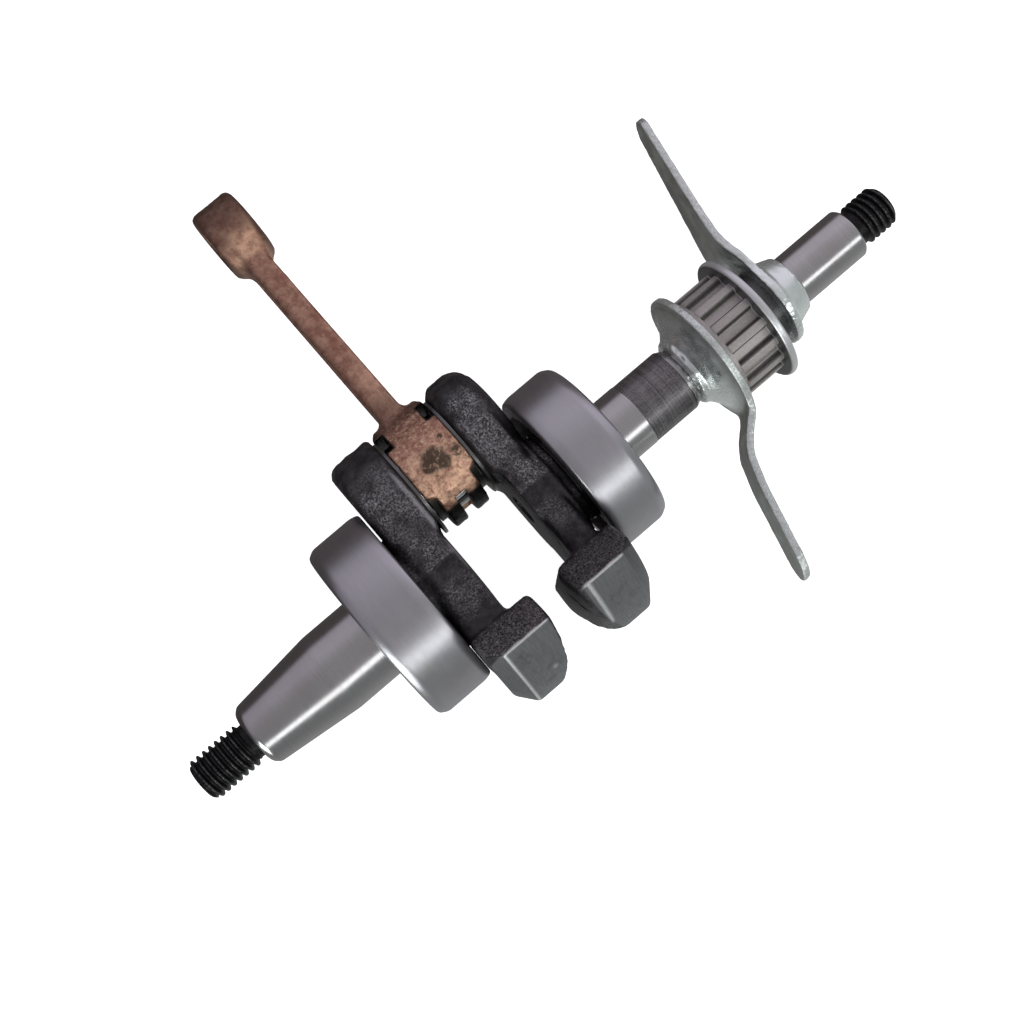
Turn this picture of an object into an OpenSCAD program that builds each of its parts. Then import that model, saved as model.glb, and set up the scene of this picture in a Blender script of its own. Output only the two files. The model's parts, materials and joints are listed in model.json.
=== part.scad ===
// Crankshaft assembly of a small single-cylinder four-stroke engine.
// A built-up crank: two forged halves pressed on a crankpin, with a connecting
// rod on needle rollers, two ball bearings, and a timing-belt pulley between
// two oil slinger plates.
//
// Units are millimetres. +X runs along the crank axis towards the output end,
// +Y towards the crankpin, +Z up. The origin is the centre of the
// flywheel-side main bearing. The crank lies on a bench at rest.

/* [Throw and rod] */
// Piston stroke, twice the crank radius
stroke = 30; // [24:0.5:36]
// Connecting rod length between bore centres
rod_length = 55; // [48:0.5:64]
// Crankpin diameter
crankpin_d = 12; // [10:0.5:14]
// Needle roller diameter
needle_d = 2; // [1.5:0.25:2.5]
// Number of needle rollers
needle_count = 14; // [10:1:16]
// Big end outside diameter
big_end_d = 20; // [18:0.5:24]
// Big end width along the crank axis
big_end_w = 10.2; // [9:0.1:11]
// Small end outside diameter
small_end_d = 13.4; // [12:0.2:16]
// Small end bore diameter, for the piston pin
small_end_bore_d = 9; // [8:0.5:10]
// Small end width along the crank axis
small_end_w = 8.3; // [7:0.1:10]
// Connecting rod shank thickness along the crank axis
shank_w = 4.4; // [4:0.1:6]

/* [Webs] */
// Distance from the throw centre to each main bearing
web_reach = 15; // [13:0.5:18]
// Gap between the two arms
arm_gap = 11.6; // [11.4:0.1:13]
// Gap between the two counterweights
fan_gap = 5.2; // [5:0.1:8]
// Radius of the lobe around the crankpin
lobe_r = 11; // [10:0.5:13]
// Half width of the arm at the crank axis
arm_half_w = 11.6; // [10:0.2:14]
// Counterweight radius
fan_r = 26; // [23:0.2:28]
// Half angle of the counterweight's turned rim
fan_half_angle = 48.6; // [46:0.2:60]
// Thickness of the output-side arm
output_arm_t = 6.5; // [5:0.5:9]

/* [Shaft] */
// Flywheel-side main bearing bore
flywheel_shaft_d = 15; // [12:1:17]
// Output-side main bearing bore
output_shaft_d = 12; // [10:1:15]
// Length from the throw centre to the large end of the taper
taper_start = 35.2; // [32:0.2:40]
// Taper length
taper_l = 16.4; // [12:0.2:20]
// Thread length on the flywheel end
flywheel_thread_l = 11.1; // [8:0.1:16]
// Length from the throw centre to the pulley seat
pulley_seat_start = 41.6; // [38:0.2:46]
// Pulley seat diameter
pulley_seat_d = 10; // [9:0.5:12]
// Length from the throw centre to the end of the pulley seat
pulley_seat_end = 66.5; // [62:0.5:72]
// Output shaft diameter
output_end_d = 9.5; // [8:0.5:12]
// Length from the throw centre to the output shaft's shoulder
output_end = 80.4; // [74:0.2:90]
// Thread length on the output end
output_thread_l = 7.7; // [6:0.1:12]
// Thread diameter
thread_d = 7.9; // [5.9:0.1:9.9]
// Thread pitch
thread_pitch = 1.25; // [1:0.25:1.5]

/* [Bearings] */
// Flywheel-side main bearing outside diameter
flywheel_bearing_d = 35; // [32:1:40]
// Flywheel-side main bearing width
flywheel_bearing_w = 11; // [10:1:12]
// Balls in the flywheel-side main bearing
flywheel_ball_count = 8; // [7:1:9]
// Output-side main bearing outside diameter
output_bearing_d = 32; // [28:1:35]
// Output-side main bearing width
output_bearing_w = 10; // [8:1:11]
// Balls in the output-side main bearing
output_ball_count = 7; // [6:1:8]
// Ball diameter in both bearings
ball_d = 5.953; // [4.762:0.001:6.35]

/* [Pulley and slingers] */
// Number of pulley teeth
tooth_count = 15; // [12:1:20]
// Diameter over the pulley teeth
pulley_d = 20.2; // [16:0.1:24]
// Tooth depth
tooth_depth = 1.2; // [0.8:0.1:1.6]
// Pulley flange diameter
flange_d = 24.2; // [22:0.2:28]
// Slinger sheet thickness
sheet_t = 1.3; // [0.8:0.1:2]
// Reach of the flywheel-side slinger arm from the crank axis
inner_arm_reach = 39.6; // [34:0.2:44]
// Reach of the output-side slinger arm from the crank axis
outer_arm_reach = 38.6; // [34:0.2:44]
// Disc diameter of the flywheel-side slinger
inner_disc_d = 25; // [22:0.2:28]
// Disc diameter of the output-side slinger
outer_disc_d = 16.8; // [14:0.2:20]

/* [Hidden] */
$fn = 96;
tiny = 0.01;
crank_r = stroke / 2;
throw_x = web_reach + flywheel_bearing_w / 2;
face_clearance = 0.3;
running_clearance = 0.03;
arm_inner = arm_gap / 2;
fan_inner = fan_gap / 2;
web_outer = web_reach - face_clearance;
// The crank lies on its flywheel-side bearing ring and on the far corners of
// the counterweights, so it is rolled until both touch the bench.
rest_roll = fan_half_angle - asin(flywheel_bearing_d / 2 / fan_r);
pin_drop = crank_r * sin(rest_roll);
// The rod leans down until its small end touches the bench.
rod_lean = asin((flywheel_bearing_d / 2 - small_end_d / 2 - pin_drop) / rod_length);
race_r = crankpin_d / 2 + needle_d;
needle_pitch_r = crankpin_d / 2 + needle_d / 2;
washer_t = 0.5;
washer_gap = (arm_inner - big_end_w / 2 - washer_t) / 2;
fan_start = -11.8;
// The counterweights' inner faces taper away from each other towards the rim.
fan_draft = 1.7;
fan_draft_l = 6.4;
fan_edge = 2.1;
// Cone that bevels the outer edge of each counterweight rim.
bevel_x = 2.7;
bevel_r = 3.4;
// The arms' inner faces step back below the thrust boss around the crankpin.
arm_relief = 1.1;
arm_relief_top = 6.6;
// Boss around the crankpin on the output arm's outer face.
pin_boss_h = 1.7;
journal_boss_r = output_shaft_d / 2 + 2.8;
shoulder_r = flywheel_shaft_d / 2 + 2;
neck_l = 1.6;
neck_r = thread_d / 2 - 0.75;
pulley_face = 47.6;
pulley_w = 8.5;
flange_t = 1.4;
outer_disc_x = 60.8;
// Grinding undercut between the pressed bearing seat and the oil seal journal,
// under the bearing ring's outer edge.
undercut_w = 0.6;
undercut_depth = 0.2;

FLYWHEEL_BALLS = [for (i = [1:flywheel_ball_count]) str("flywheel_bearing_ball_", i)];
OUTPUT_BALLS = [for (i = [1:output_ball_count]) str("output_bearing_ball_", i)];
NEEDLES = [for (i = [1:needle_count]) str("big_end_needle_", i)];

steel = [0.62, 0.62, 0.66];
forged = [0.16, 0.15, 0.16];
copper = [0.55, 0.35, 0.27];
zinc = [0.66, 0.70, 0.68];
sintered = [0.45, 0.42, 0.42];
dark_steel = [0.30, 0.30, 0.31];
bright = [0.80, 0.80, 0.82];

// ---- helpers ----

// Solid turned about the X axis from [radius, x] points.
module turned(points) {
    rotate([0, 90, 0])
        rotate_extrude()
            polygon(points);
}

// Flat outline in the YZ plane, drawn as [y, z], between two x positions.
module slab(x_low, x_high) {
    translate([x_low, 0, 0])
        rotate([90, 0, 90])
            linear_extrude(height = x_high - x_low)
                children();
}

module rod_x(x_low, x_high, r) {
    translate([x_low, 0, 0])
        rotate([0, 90, 0])
            cylinder(r = r, h = x_high - x_low);
}

// From crank coordinates, with the throw centre at x = 0 and the crankpin
// straight along +Y, to the resting place on the bench.
module crank_place() {
    translate([throw_x, 0, 0])
        rotate([-rest_roll, 0, 0])
            children();
}

// From rod coordinates, with the big end bore at the origin and the small end
// along +Y, to the resting place.
module rod_place() {
    translate([throw_x, crank_r * cos(rest_roll), -pin_drop])
        rotate([-rod_lean, 0, 0])
            children();
}

// ---- thread ----

// [radius, x] points of ring grooves from x_low, with n crests.
function thread_points(x_low, n, root, crest, pitch) = [
    for (i = [0:n - 1])
        for (p = [[root, 0.06], [crest, 0.44], [crest, 0.56], [root, 0.94]])
            [p[0], x_low + (i + p[1]) * pitch]];

// ---- crank halves ----

// Outline of the arm, which ends inside the counterweight.
module web_outline() {
    inside_r = fan_r * 0.93;
    corner_y = -inside_r * cos(fan_half_angle);
    corner_z = inside_r * sin(fan_half_angle);
    shoulder_y = fan_start;
    union() {
        translate([crank_r, 0]) circle(r = lobe_r);
        polygon([
            [crank_r, lobe_r], [0, arm_half_w], [shoulder_y, arm_half_w],
            [corner_y, corner_z], [corner_y, -corner_z],
            [shoulder_y, -arm_half_w], [0, -arm_half_w], [crank_r, -lobe_r]]);
    }
}

// Raised outline of the counterweight alone.
module fan_outline() {
    corner_y = -fan_r * cos(fan_half_angle);
    corner_z = fan_r * sin(fan_half_angle);
    far_y = -fan_r * 1.3;
    polygon([
        [fan_start, 12.2], [corner_y, corner_z], [far_y, corner_z * far_y / corner_y],
        [far_y, -corner_z * far_y / corner_y], [corner_y, -corner_z], [fan_start, -12.2]]);
}

// Turned envelope of the output-side counterweight.
module fan_envelope() {
    turned([
        [0, fan_inner], [fan_r - fan_edge - fan_draft_l, fan_inner],
        [fan_r - fan_edge, fan_inner + fan_draft], [fan_r, fan_inner + fan_draft + fan_edge],
        [fan_r, web_outer], [0, web_outer]]);
}

// Everything outside the bevelled rim, on the counterweight's side of the axis.
module rim_bevel() {
    past = 4;
    intersection() {
        turned([
            [fan_r - bevel_r, web_outer], [fan_r, web_outer - bevel_x],
            [fan_r + past, web_outer - bevel_x - past], [fan_r + past, web_outer + past],
            [fan_r - bevel_r, web_outer + past]]);
        translate([0, -2 * fan_r + fan_start, -2 * fan_r])
            cube([2 * web_reach, 2 * fan_r, 4 * fan_r]);
    }
}

// A web on the output side, with an arm from the throw out to arm_outer.
module web(arm_outer) {
    difference() {
        union() {
            slab(arm_inner, arm_outer) web_outline();
            intersection() {
                slab(fan_inner, web_outer) fan_outline();
                fan_envelope();
            }
        }
        translate([arm_inner - 1, fan_start, -lobe_r * 2])
            cube([1 + arm_relief, arm_relief_top - fan_start, lobe_r * 4]);
        rim_bevel();
    }
}

module flywheel_web() {
    mirror([1, 0, 0]) web(web_outer);
}

module output_web() {
    arm_outer = arm_inner + output_arm_t;
    web(arm_outer);
    translate([0, crank_r, 0])
        turned([
            [0, arm_outer - tiny], [lobe_r - 1.2, arm_outer - tiny],
            [lobe_r - 3.8, arm_outer + pin_boss_h], [0, arm_outer + pin_boss_h]]);
}

module flywheel_shaft() {
    shaft_r = flywheel_shaft_d / 2;
    taper_end = taper_start + taper_l;
    taper_end_r = shaft_r - taper_l / 10;
    thread_start = taper_end + neck_l;
    crests = floor((flywheel_thread_l - neck_l) / thread_pitch);
    tip_x = taper_end + flywheel_thread_l;
    undercut_end = web_reach + flywheel_bearing_w;
    undercut_start = undercut_end - undercut_w;
    undercut_r = shaft_r - undercut_depth;
    grooves = thread_points(thread_start, crests, neck_r, thread_d / 2, thread_pitch);
    mirror([1, 0, 0])
        turned(concat(
            [[0, web_outer - tiny], [shoulder_r, web_outer - tiny], [shoulder_r, web_reach],
             [shaft_r, web_reach], [shaft_r, undercut_start],
             [undercut_r, undercut_start], [undercut_r, undercut_end],
             [shaft_r, undercut_end], [shaft_r, taper_start],
             [taper_end_r + 0.1, taper_end - 1], [taper_end_r - 0.9, taper_end],
             [neck_r, taper_end], [neck_r, thread_start]],
            grooves,
            [[neck_r, tip_x - 0.3], [neck_r - 0.3, tip_x], [0, tip_x]]));
}

module output_shaft() {
    shaft_r = output_shaft_d / 2;
    seat_r = pulley_seat_d / 2;
    end_r = output_end_d / 2;
    arm_outer = arm_inner + output_arm_t;
    turned_zone = [31.4, 40.4];
    turned_r = shaft_r - 0.08;
    thread_start = output_end + neck_l;
    crests = floor((output_thread_l - neck_l) / thread_pitch);
    tip_x = output_end + output_thread_l;
    grooves = thread_points(thread_start, crests, neck_r, thread_d / 2, thread_pitch);
    turned(concat(
        [[0, arm_outer - tiny], [journal_boss_r, arm_outer - tiny], [journal_boss_r, web_reach],
         [shaft_r, web_reach], [shaft_r, turned_zone[0]],
         [turned_r, turned_zone[0] + 0.08], [turned_r, turned_zone[1]],
         [shaft_r - 0.6, pulley_seat_start], [seat_r, pulley_seat_start],
         [seat_r, pulley_seat_end], [end_r, pulley_seat_end],
         [end_r, output_end - 0.5], [end_r - 0.5, output_end],
         [neck_r, output_end], [neck_r, thread_start]],
        grooves,
        [[neck_r, tip_x - 0.4], [neck_r - 0.4, tip_x], [0, tip_x]]));
}

module crankpin_hole(x_low, x_high) {
    translate([0, crank_r, 0]) rod_x(x_low, x_high, crankpin_d / 2);
}

module flywheel_crank_half() {
    color(forged)
        crank_place()
            difference() {
                union() {
                    flywheel_web();
                    flywheel_shaft();
                }
                crankpin_hole(-web_reach - 1, 0);
            }
}

module output_crank_half() {
    oil_hole_r = 2.8;
    color(forged)
        crank_place()
            difference() {
                union() {
                    output_web();
                    output_shaft();
                }
                crankpin_hole(0, web_reach + 1);
                rod_x(arm_inner - 1, arm_inner + 5, oil_hole_r);
            }
}

module crankpin() {
    pin_edge = 0.5;
    r = crankpin_d / 2;
    x_low = -web_outer + 0.4;
    x_high = arm_inner + output_arm_t + pin_boss_h - 0.4;
    color(steel)
        crank_place()
            translate([0, crank_r, 0])
                turned([
                    [0, x_low], [r - pin_edge, x_low], [r, x_low + pin_edge],
                    [r, x_high - pin_edge], [r - pin_edge, x_high], [0, x_high]]);
}

// ---- connecting rod and big end bearing ----

// Shank seen along the crank axis, with a margin taken off each side.
module shank_outline(margin, y_low, y_high) {
    half_low = 4.7 - margin;
    half_high = 3.7 - margin;
    polygon([[y_low, half_low], [y_high, half_high], [y_high, -half_high], [y_low, -half_low]]);
}

// Shoulder that widens the shank to an end's full width.
module rod_shoulder(y_wide, y_narrow, width, depth) {
    translate([0, 0, -depth / 2])
        linear_extrude(height = depth)
            polygon([
                [-width / 2, y_wide], [-shank_w / 2, y_narrow],
                [shank_w / 2, y_narrow], [width / 2, y_wide]]);
}

module rod_body() {
    big_r = big_end_d / 2;
    small_r = small_end_d / 2;
    rod_x(-big_end_w / 2, big_end_w / 2, big_r);
    translate([0, rod_length, 0])
        rod_x(-small_end_w / 2, small_end_w / 2, small_r);
    slab(-shank_w / 2, shank_w / 2)
        shank_outline(0, big_r - 2, rod_length - small_r + 2);
    rod_shoulder(big_r - 1.5, big_r + 1.6, big_end_w, 7);
    rod_shoulder(rod_length - 2.4, rod_length - small_r - 0.4, small_end_w, 7.4);
}

// Hollow of the I-section, on both faces of the shank.
module shank_hollows() {
    hollow_depth = 1.1;
    for (side = [-1, 1])
        translate([side * (shank_w / 2 - hollow_depth / 2), 0, 0])
            slab(-hollow_depth / 2 - (side < 0 ? 1 : 0), hollow_depth / 2 + (side > 0 ? 1 : 0))
                shank_outline(1.5, big_end_d / 2 + 4, rod_length - small_end_d / 2 - 3.5);
}

// Oil slots milled across the thrust faces above the bore, and the cut-back
// faces below it.
module thrust_face_cuts() {
    slot_depth = 1.5;
    relief_depth = 1.5;
    slot_y = 6.9;
    slot_w = 3.4;
    relief_top = -5.1;
    relief_l = 12;
    for (side = [-1, 1]) {
        translate([side * big_end_w / 2, slot_y, 0])
            cube([slot_depth * 2, slot_w, big_end_d + 2], center = true);
        translate([side * big_end_w / 2, relief_top - relief_l / 2, 0])
            cube([relief_depth * 2, relief_l, big_end_d + 2], center = true);
    }
}

// Slot through the bottom of the big end, which shows the needles.
module oil_slot() {
    slot_w = 2.1;
    slot_half_angle = 41;
    reach = big_end_d;
    intersection() {
        rod_x(-slot_w / 2, slot_w / 2, reach);
        slab(-slot_w, slot_w)
            polygon([
                [0, 0],
                [-reach * cos(slot_half_angle), reach * sin(slot_half_angle)],
                [-reach * cos(slot_half_angle), -reach * sin(slot_half_angle)]]);
    }
}

module connecting_rod() {
    color(copper)
        rod_place()
            difference() {
                rod_body();
                rod_x(-big_end_w, big_end_w, race_r);
                translate([0, rod_length, 0])
                    rod_x(-small_end_w, small_end_w, small_end_bore_d / 2);
                shank_hollows();
                thrust_face_cuts();
                oil_slot();
            }
}

module around(count, i) {
    rotate([360 * (i - 1) / count, 0, 0]) children();
}

module big_end_cage() {
    cage_w = big_end_w - 0.6;
    pocket_w = cage_w - 2.6;
    pocket_h = needle_d + 0.06;
    color(bright)
        rod_place()
            difference() {
                rod_x(-cage_w / 2, cage_w / 2, race_r - 0.25);
                rod_x(-cage_w, cage_w, crankpin_d / 2 + 0.3);
                for (i = [1:needle_count])
                    around(needle_count, i)
                        translate([0, needle_pitch_r, 0])
                            cube([pocket_w, 2 * needle_d, pocket_h], center = true);
            }
}

module big_end_needle(i) {
    needle_l = big_end_w - 3.3;
    color(bright)
        rod_place()
            around(needle_count, i)
                translate([0, needle_pitch_r, 0])
                    rod_x(-needle_l / 2, needle_l / 2, needle_d / 2 - running_clearance);
}

module big_end_washer(side) {
    inner_x = side * (big_end_w / 2 + washer_gap);
    outer_x = inner_x + side * washer_t;
    color(bright)
        rod_place()
            difference() {
                rod_x(min(inner_x, outer_x), max(inner_x, outer_x), big_end_d / 2 - 0.4);
                rod_x(-big_end_w, big_end_w, crankpin_d / 2 + 0.05);
            }
}

// ---- ball bearings, centred on x = 0 ----

function ball_pitch_r(bore_d, outer_d) = (bore_d + outer_d) / 4;
groove_r = ball_d / 2 * 1.03;

module ball_groove(pitch_r) {
    rotate([0, 90, 0])
        rotate_extrude()
            translate([pitch_r, 0]) circle(r = groove_r);
}

// Race ring between two radii with all edges broken.
module race_ring(r_low, r_high, w, pitch_r) {
    e = 0.55;
    difference() {
        turned([
            [r_low + e, -w / 2], [r_high - e, -w / 2], [r_high, -w / 2 + e],
            [r_high, w / 2 - e], [r_high - e, w / 2], [r_low + e, w / 2],
            [r_low, w / 2 - e], [r_low, -w / 2 + e]]);
        ball_groove(pitch_r);
    }
}

module inner_ring(bore_d, outer_d, w) {
    pitch_r = ball_pitch_r(bore_d, outer_d);
    color(bright) race_ring(bore_d / 2, pitch_r - 2, w, pitch_r);
}

module outer_ring(bore_d, outer_d, w) {
    pitch_r = ball_pitch_r(bore_d, outer_d);
    color(steel) race_ring(pitch_r + 2, outer_d / 2, w, pitch_r);
}

// Round window for one ball, cut outwards through the cage.
module ball_pocket(pitch_r) {
    translate([0, pitch_r - ball_d / 2, 0])
        rotate([-90, 0, 0])
            cylinder(r = ball_d / 2 + 0.06, h = ball_d);
}

rivet_r = 0.4;

// Ring half of the ball cage, on one side of the ball plane.
module cage_half(side, bore_d, outer_d, count) {
    pitch_r = ball_pitch_r(bore_d, outer_d);
    back = side * (ball_d / 2 + 0.5);
    color(bright)
        difference() {
            rod_x(min(0, back), max(0, back), pitch_r + 0.9);
            rod_x(-ball_d, ball_d, pitch_r - 0.9);
            for (i = [1:count]) {
                around(count, i)
                    ball_pocket(pitch_r);
                around(count, i + 0.5)
                    translate([0, pitch_r, 0]) rod_x(-ball_d, ball_d, rivet_r);
            }
        }
}

module cage_rivets(bore_d, outer_d, count) {
    pitch_r = ball_pitch_r(bore_d, outer_d);
    half_l = ball_d / 2 + 0.5;
    head_t = 0.3;
    color(bright)
        for (i = [1:count])
            around(count, i + 0.5)
                translate([0, pitch_r, 0]) {
                    rod_x(-half_l, half_l, rivet_r);
                    rod_x(half_l, half_l + head_t, 2 * rivet_r);
                    rod_x(-half_l - head_t, -half_l, 2 * rivet_r);
                }
}

module ball(i, bore_d, outer_d, count) {
    color(bright)
        around(count, i)
            translate([0, ball_pitch_r(bore_d, outer_d), 0])
                sphere(r = ball_d / 2);
}

module output_bearing_place() {
    translate([throw_x + web_reach + output_bearing_w / 2, 0, 0]) children();
}

// ---- pulley and slingers, in crank coordinates ----

// One groove between two belt teeth.
module tooth_gap() {
    outer_half = 1.42;
    inner_half = 0.78;
    tip_r = pulley_d / 2;
    polygon([
        [tip_r + 1, outer_half + 0.5], [tip_r, outer_half], [tip_r - tooth_depth, inner_half],
        [tip_r - tooth_depth, -inner_half], [tip_r, -outer_half], [tip_r + 1, -outer_half - 0.5]]);
}

module timing_pulley() {
    hub_r = 6.6;
    face = pulley_face;
    back = face + pulley_w;
    color(sintered)
        crank_place()
            difference() {
                union() {
                    slab(face, back)
                        difference() {
                            circle(r = pulley_d / 2);
                            for (i = [1:tooth_count])
                                rotate([0, 0, 360 * i / tooth_count]) tooth_gap();
                        }
                    rod_x(back - tiny, outer_disc_x, hub_r);
                }
                rod_x(face - 1, outer_disc_x + 1, pulley_seat_d / 2);
            }
}

module pulley_flange() {
    back = pulley_face + pulley_w;
    r = flange_d / 2;
    color(dark_steel)
        crank_place()
            difference() {
                turned([
                    [6.6, back], [r - 0.5, back], [r, back + 0.5],
                    [r, back + flange_t - 0.3], [r - 0.3, back + flange_t], [6.6, back + flange_t]]);
                rod_x(back - 1, back + flange_t + 1, 6.6);
            }
}

// Sheet arm with a centre line of [y, x] points: each point is where the
// sheet bends, and the sheet is sheet_t thick between the bends.
module bent_strip(line) {
    rotate([180, 0, 0])
        translate([0, 0, -10])
            linear_extrude(height = 20)
                polygon(concat(
                    [for (p = line) [p[1] + sheet_t / 2, p[0]]],
                    [for (i = [len(line) - 1:-1:0]) [line[i][1] - sheet_t / 2, line[i][0]]]));
}

// Face outline of an arm from the crank axis to its rounded tip.
module arm_face(reach, root_half, mid_half, tip_r) {
    mid_y = 19;
    hub_y = 9;
    polygon([
        [0, root_half], [hub_y, root_half], [mid_y, mid_half], [reach - tip_r, tip_r],
        [reach - tip_r, -tip_r], [mid_y, -mid_half], [hub_y, -root_half], [0, -root_half]]);
    translate([reach - tip_r, 0]) circle(r = tip_r);
}

// Arm that points along -Y and leans back towards the bearing.
module inner_arm() {
    disc_x = pulley_face - sheet_t / 2;
    intersection() {
        bent_strip([
            [0, disc_x], [11.9, disc_x], [13.9, disc_x - 1.9], [15.2, disc_x - 3.5],
            [16.9, disc_x - 4.9], [18.5, disc_x - 5.8], [23.4, disc_x - 7.6],
            [inner_arm_reach + 2, disc_x - 12.2]]);
        mirror([0, 1, 0])
            slab(0, 60) arm_face(inner_arm_reach, 5.6, 4.1, 3.9);
    }
}

// Arm that points along +Y, dips to the pulley and leans out again.
module outer_arm() {
    disc_x = outer_disc_x + sheet_t / 2;
    intersection() {
        mirror([0, 1, 0])
            bent_strip([
                [0, disc_x], [6.5, disc_x], [9.5, disc_x - 0.3], [12.4, disc_x - 0.75],
                [15, disc_x - 0.4], [outer_arm_reach + 2, disc_x + 5]]);
        slab(0, 80) arm_face(outer_arm_reach, 7.2, 5.1, 3);
    }
}

module slinger_flywheel_side() {
    back = pulley_face;
    front = back - sheet_t;
    disc_r = inner_disc_d / 2;
    seat_r = pulley_seat_d / 2;
    color(zinc)
        crank_place()
            difference() {
                union() {
                    turned([
                        [seat_r, pulley_seat_start + 0.4], [seat_r + 1.3, pulley_seat_start + 0.4],
                        [seat_r + 1.6, pulley_seat_start + 2.2], [seat_r + 2.4, pulley_seat_start + 3.8],
                        [seat_r + 3.9, front], [disc_r - 0.2, front], [disc_r, front + 0.2],
                        [disc_r, back], [seat_r, back]]);
                    inner_arm();
                }
                rod_x(pulley_seat_start, pulley_face + 1, seat_r);
            }
}

module slinger_output_side() {
    front = outer_disc_x;
    back = front + sheet_t;
    disc_r = outer_disc_d / 2;
    seat_r = pulley_seat_d / 2;
    tip_x = pulley_seat_end - 0.2;
    color(zinc)
        crank_place()
            difference() {
                union() {
                    turned([
                        [seat_r, front], [disc_r, front], [disc_r, back - 0.2], [disc_r - 0.2, back],
                        [seat_r + 2.2, back], [seat_r + 1.4, back + 1.4],
                        [seat_r + 1, tip_x], [seat_r, tip_x]]);
                    outer_arm();
                }
                rod_x(front - 4, tip_x + 1, seat_r);
            }
}

// ---- assembly ----

flywheel_crank_half();
output_crank_half();
crankpin();
connecting_rod();
big_end_cage();
big_end_washer(-1);  // big_end_washer_flywheel
big_end_washer(1);  // big_end_washer_output
for (i = [1:needle_count])
    big_end_needle(i);

inner_ring(flywheel_shaft_d, flywheel_bearing_d, flywheel_bearing_w);  // flywheel_bearing_inner_ring
outer_ring(flywheel_shaft_d, flywheel_bearing_d, flywheel_bearing_w);  // flywheel_bearing_outer_ring
cage_half(1, flywheel_shaft_d, flywheel_bearing_d, flywheel_ball_count);  // flywheel_bearing_cage_inboard
cage_half(-1, flywheel_shaft_d, flywheel_bearing_d, flywheel_ball_count);  // flywheel_bearing_cage_outboard
cage_rivets(flywheel_shaft_d, flywheel_bearing_d, flywheel_ball_count);  // flywheel_bearing_rivets
for (i = [1:flywheel_ball_count])
    ball(i, flywheel_shaft_d, flywheel_bearing_d, flywheel_ball_count);

output_bearing_place() {
    inner_ring(output_shaft_d, output_bearing_d, output_bearing_w);  // output_bearing_inner_ring
    outer_ring(output_shaft_d, output_bearing_d, output_bearing_w);  // output_bearing_outer_ring
    cage_half(-1, output_shaft_d, output_bearing_d, output_ball_count);  // output_bearing_cage_inboard
    cage_half(1, output_shaft_d, output_bearing_d, output_ball_count);  // output_bearing_cage_outboard
    cage_rivets(output_shaft_d, output_bearing_d, output_ball_count);  // output_bearing_rivets
    for (i = [1:output_ball_count])
        ball(i, output_shaft_d, output_bearing_d, output_ball_count);
}

timing_pulley();
pulley_flange();
slinger_flywheel_side();
slinger_output_side();
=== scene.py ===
"""Looks for a small engine's built-up crankshaft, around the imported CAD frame.

Lengths are millimetres, except in the last section, which is in metres. Crank pieces are
drawn with x along the crank from the throw centre and y towards the crankpin. Rod
pieces are drawn with the big end bore at the origin and y towards the small end.
"""

import json
import math
from functools import reduce

import bmesh
import bpy
import numpy as np
import openvdb
from mathutils import Matrix, Vector


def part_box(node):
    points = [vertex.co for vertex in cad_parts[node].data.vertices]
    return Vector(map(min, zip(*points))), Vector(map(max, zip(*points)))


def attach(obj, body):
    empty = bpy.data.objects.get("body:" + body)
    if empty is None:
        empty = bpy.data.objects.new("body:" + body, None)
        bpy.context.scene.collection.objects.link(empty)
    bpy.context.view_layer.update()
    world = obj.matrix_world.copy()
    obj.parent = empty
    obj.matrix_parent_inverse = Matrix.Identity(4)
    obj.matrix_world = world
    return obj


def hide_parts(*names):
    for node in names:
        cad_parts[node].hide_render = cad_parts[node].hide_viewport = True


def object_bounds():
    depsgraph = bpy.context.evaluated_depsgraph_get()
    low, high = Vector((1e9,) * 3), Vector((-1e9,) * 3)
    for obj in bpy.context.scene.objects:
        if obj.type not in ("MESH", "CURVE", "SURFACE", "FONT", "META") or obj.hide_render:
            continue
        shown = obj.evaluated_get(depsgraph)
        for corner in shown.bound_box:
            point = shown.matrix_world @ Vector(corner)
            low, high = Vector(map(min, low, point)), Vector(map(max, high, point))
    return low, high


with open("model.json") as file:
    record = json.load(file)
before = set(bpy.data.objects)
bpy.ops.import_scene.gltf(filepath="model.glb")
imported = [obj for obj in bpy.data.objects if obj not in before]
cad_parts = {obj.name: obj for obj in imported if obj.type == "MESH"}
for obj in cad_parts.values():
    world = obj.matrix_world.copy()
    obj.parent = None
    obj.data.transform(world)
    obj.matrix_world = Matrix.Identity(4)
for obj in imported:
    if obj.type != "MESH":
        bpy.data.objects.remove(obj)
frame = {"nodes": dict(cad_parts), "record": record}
cad_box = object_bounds()

MM = 0.001
SEGMENTS = 144


def centre(node):
    low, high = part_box(node)
    return (np.array(low) + np.array(high)) / 2 / MM


def size(node):
    low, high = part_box(node)
    return (np.array(high) - np.array(low)) / MM


def mount_position(name):
    found = next(m for m in frame["record"]["mounts"] if m["name"] == name)
    return np.array(found["pos_m"]) / MM


def placement(origin, angle=0.0):
    """From a piece's own millimetres, turned about X, to the row frame in metres."""
    shift = Matrix.Translation(Vector(origin) * MM)
    return shift @ Matrix.Rotation(angle, 4, "X") @ Matrix.Scale(MM, 4)


PIN = centre("crankpin")
SMALL_END = mount_position("piston_pin_bore")
THROW_X = SMALL_END[0]
CRANK_R = math.hypot(PIN[1], PIN[2])
ROD_LENGTH = math.hypot(SMALL_END[1] - PIN[1], SMALL_END[2] - PIN[2])
CRANK = placement((THROW_X, 0, 0), math.atan2(PIN[2], PIN[1]))
ROD = placement(
    (THROW_X, PIN[1], PIN[2]),
    math.atan2(SMALL_END[2] - PIN[2], SMALL_END[1] - PIN[1]),
)
FLYWHEEL_TIP = THROW_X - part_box("flywheel_crank_half")[0].x / MM
OUTPUT_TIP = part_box("output_crank_half")[1].x / MM - THROW_X


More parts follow.
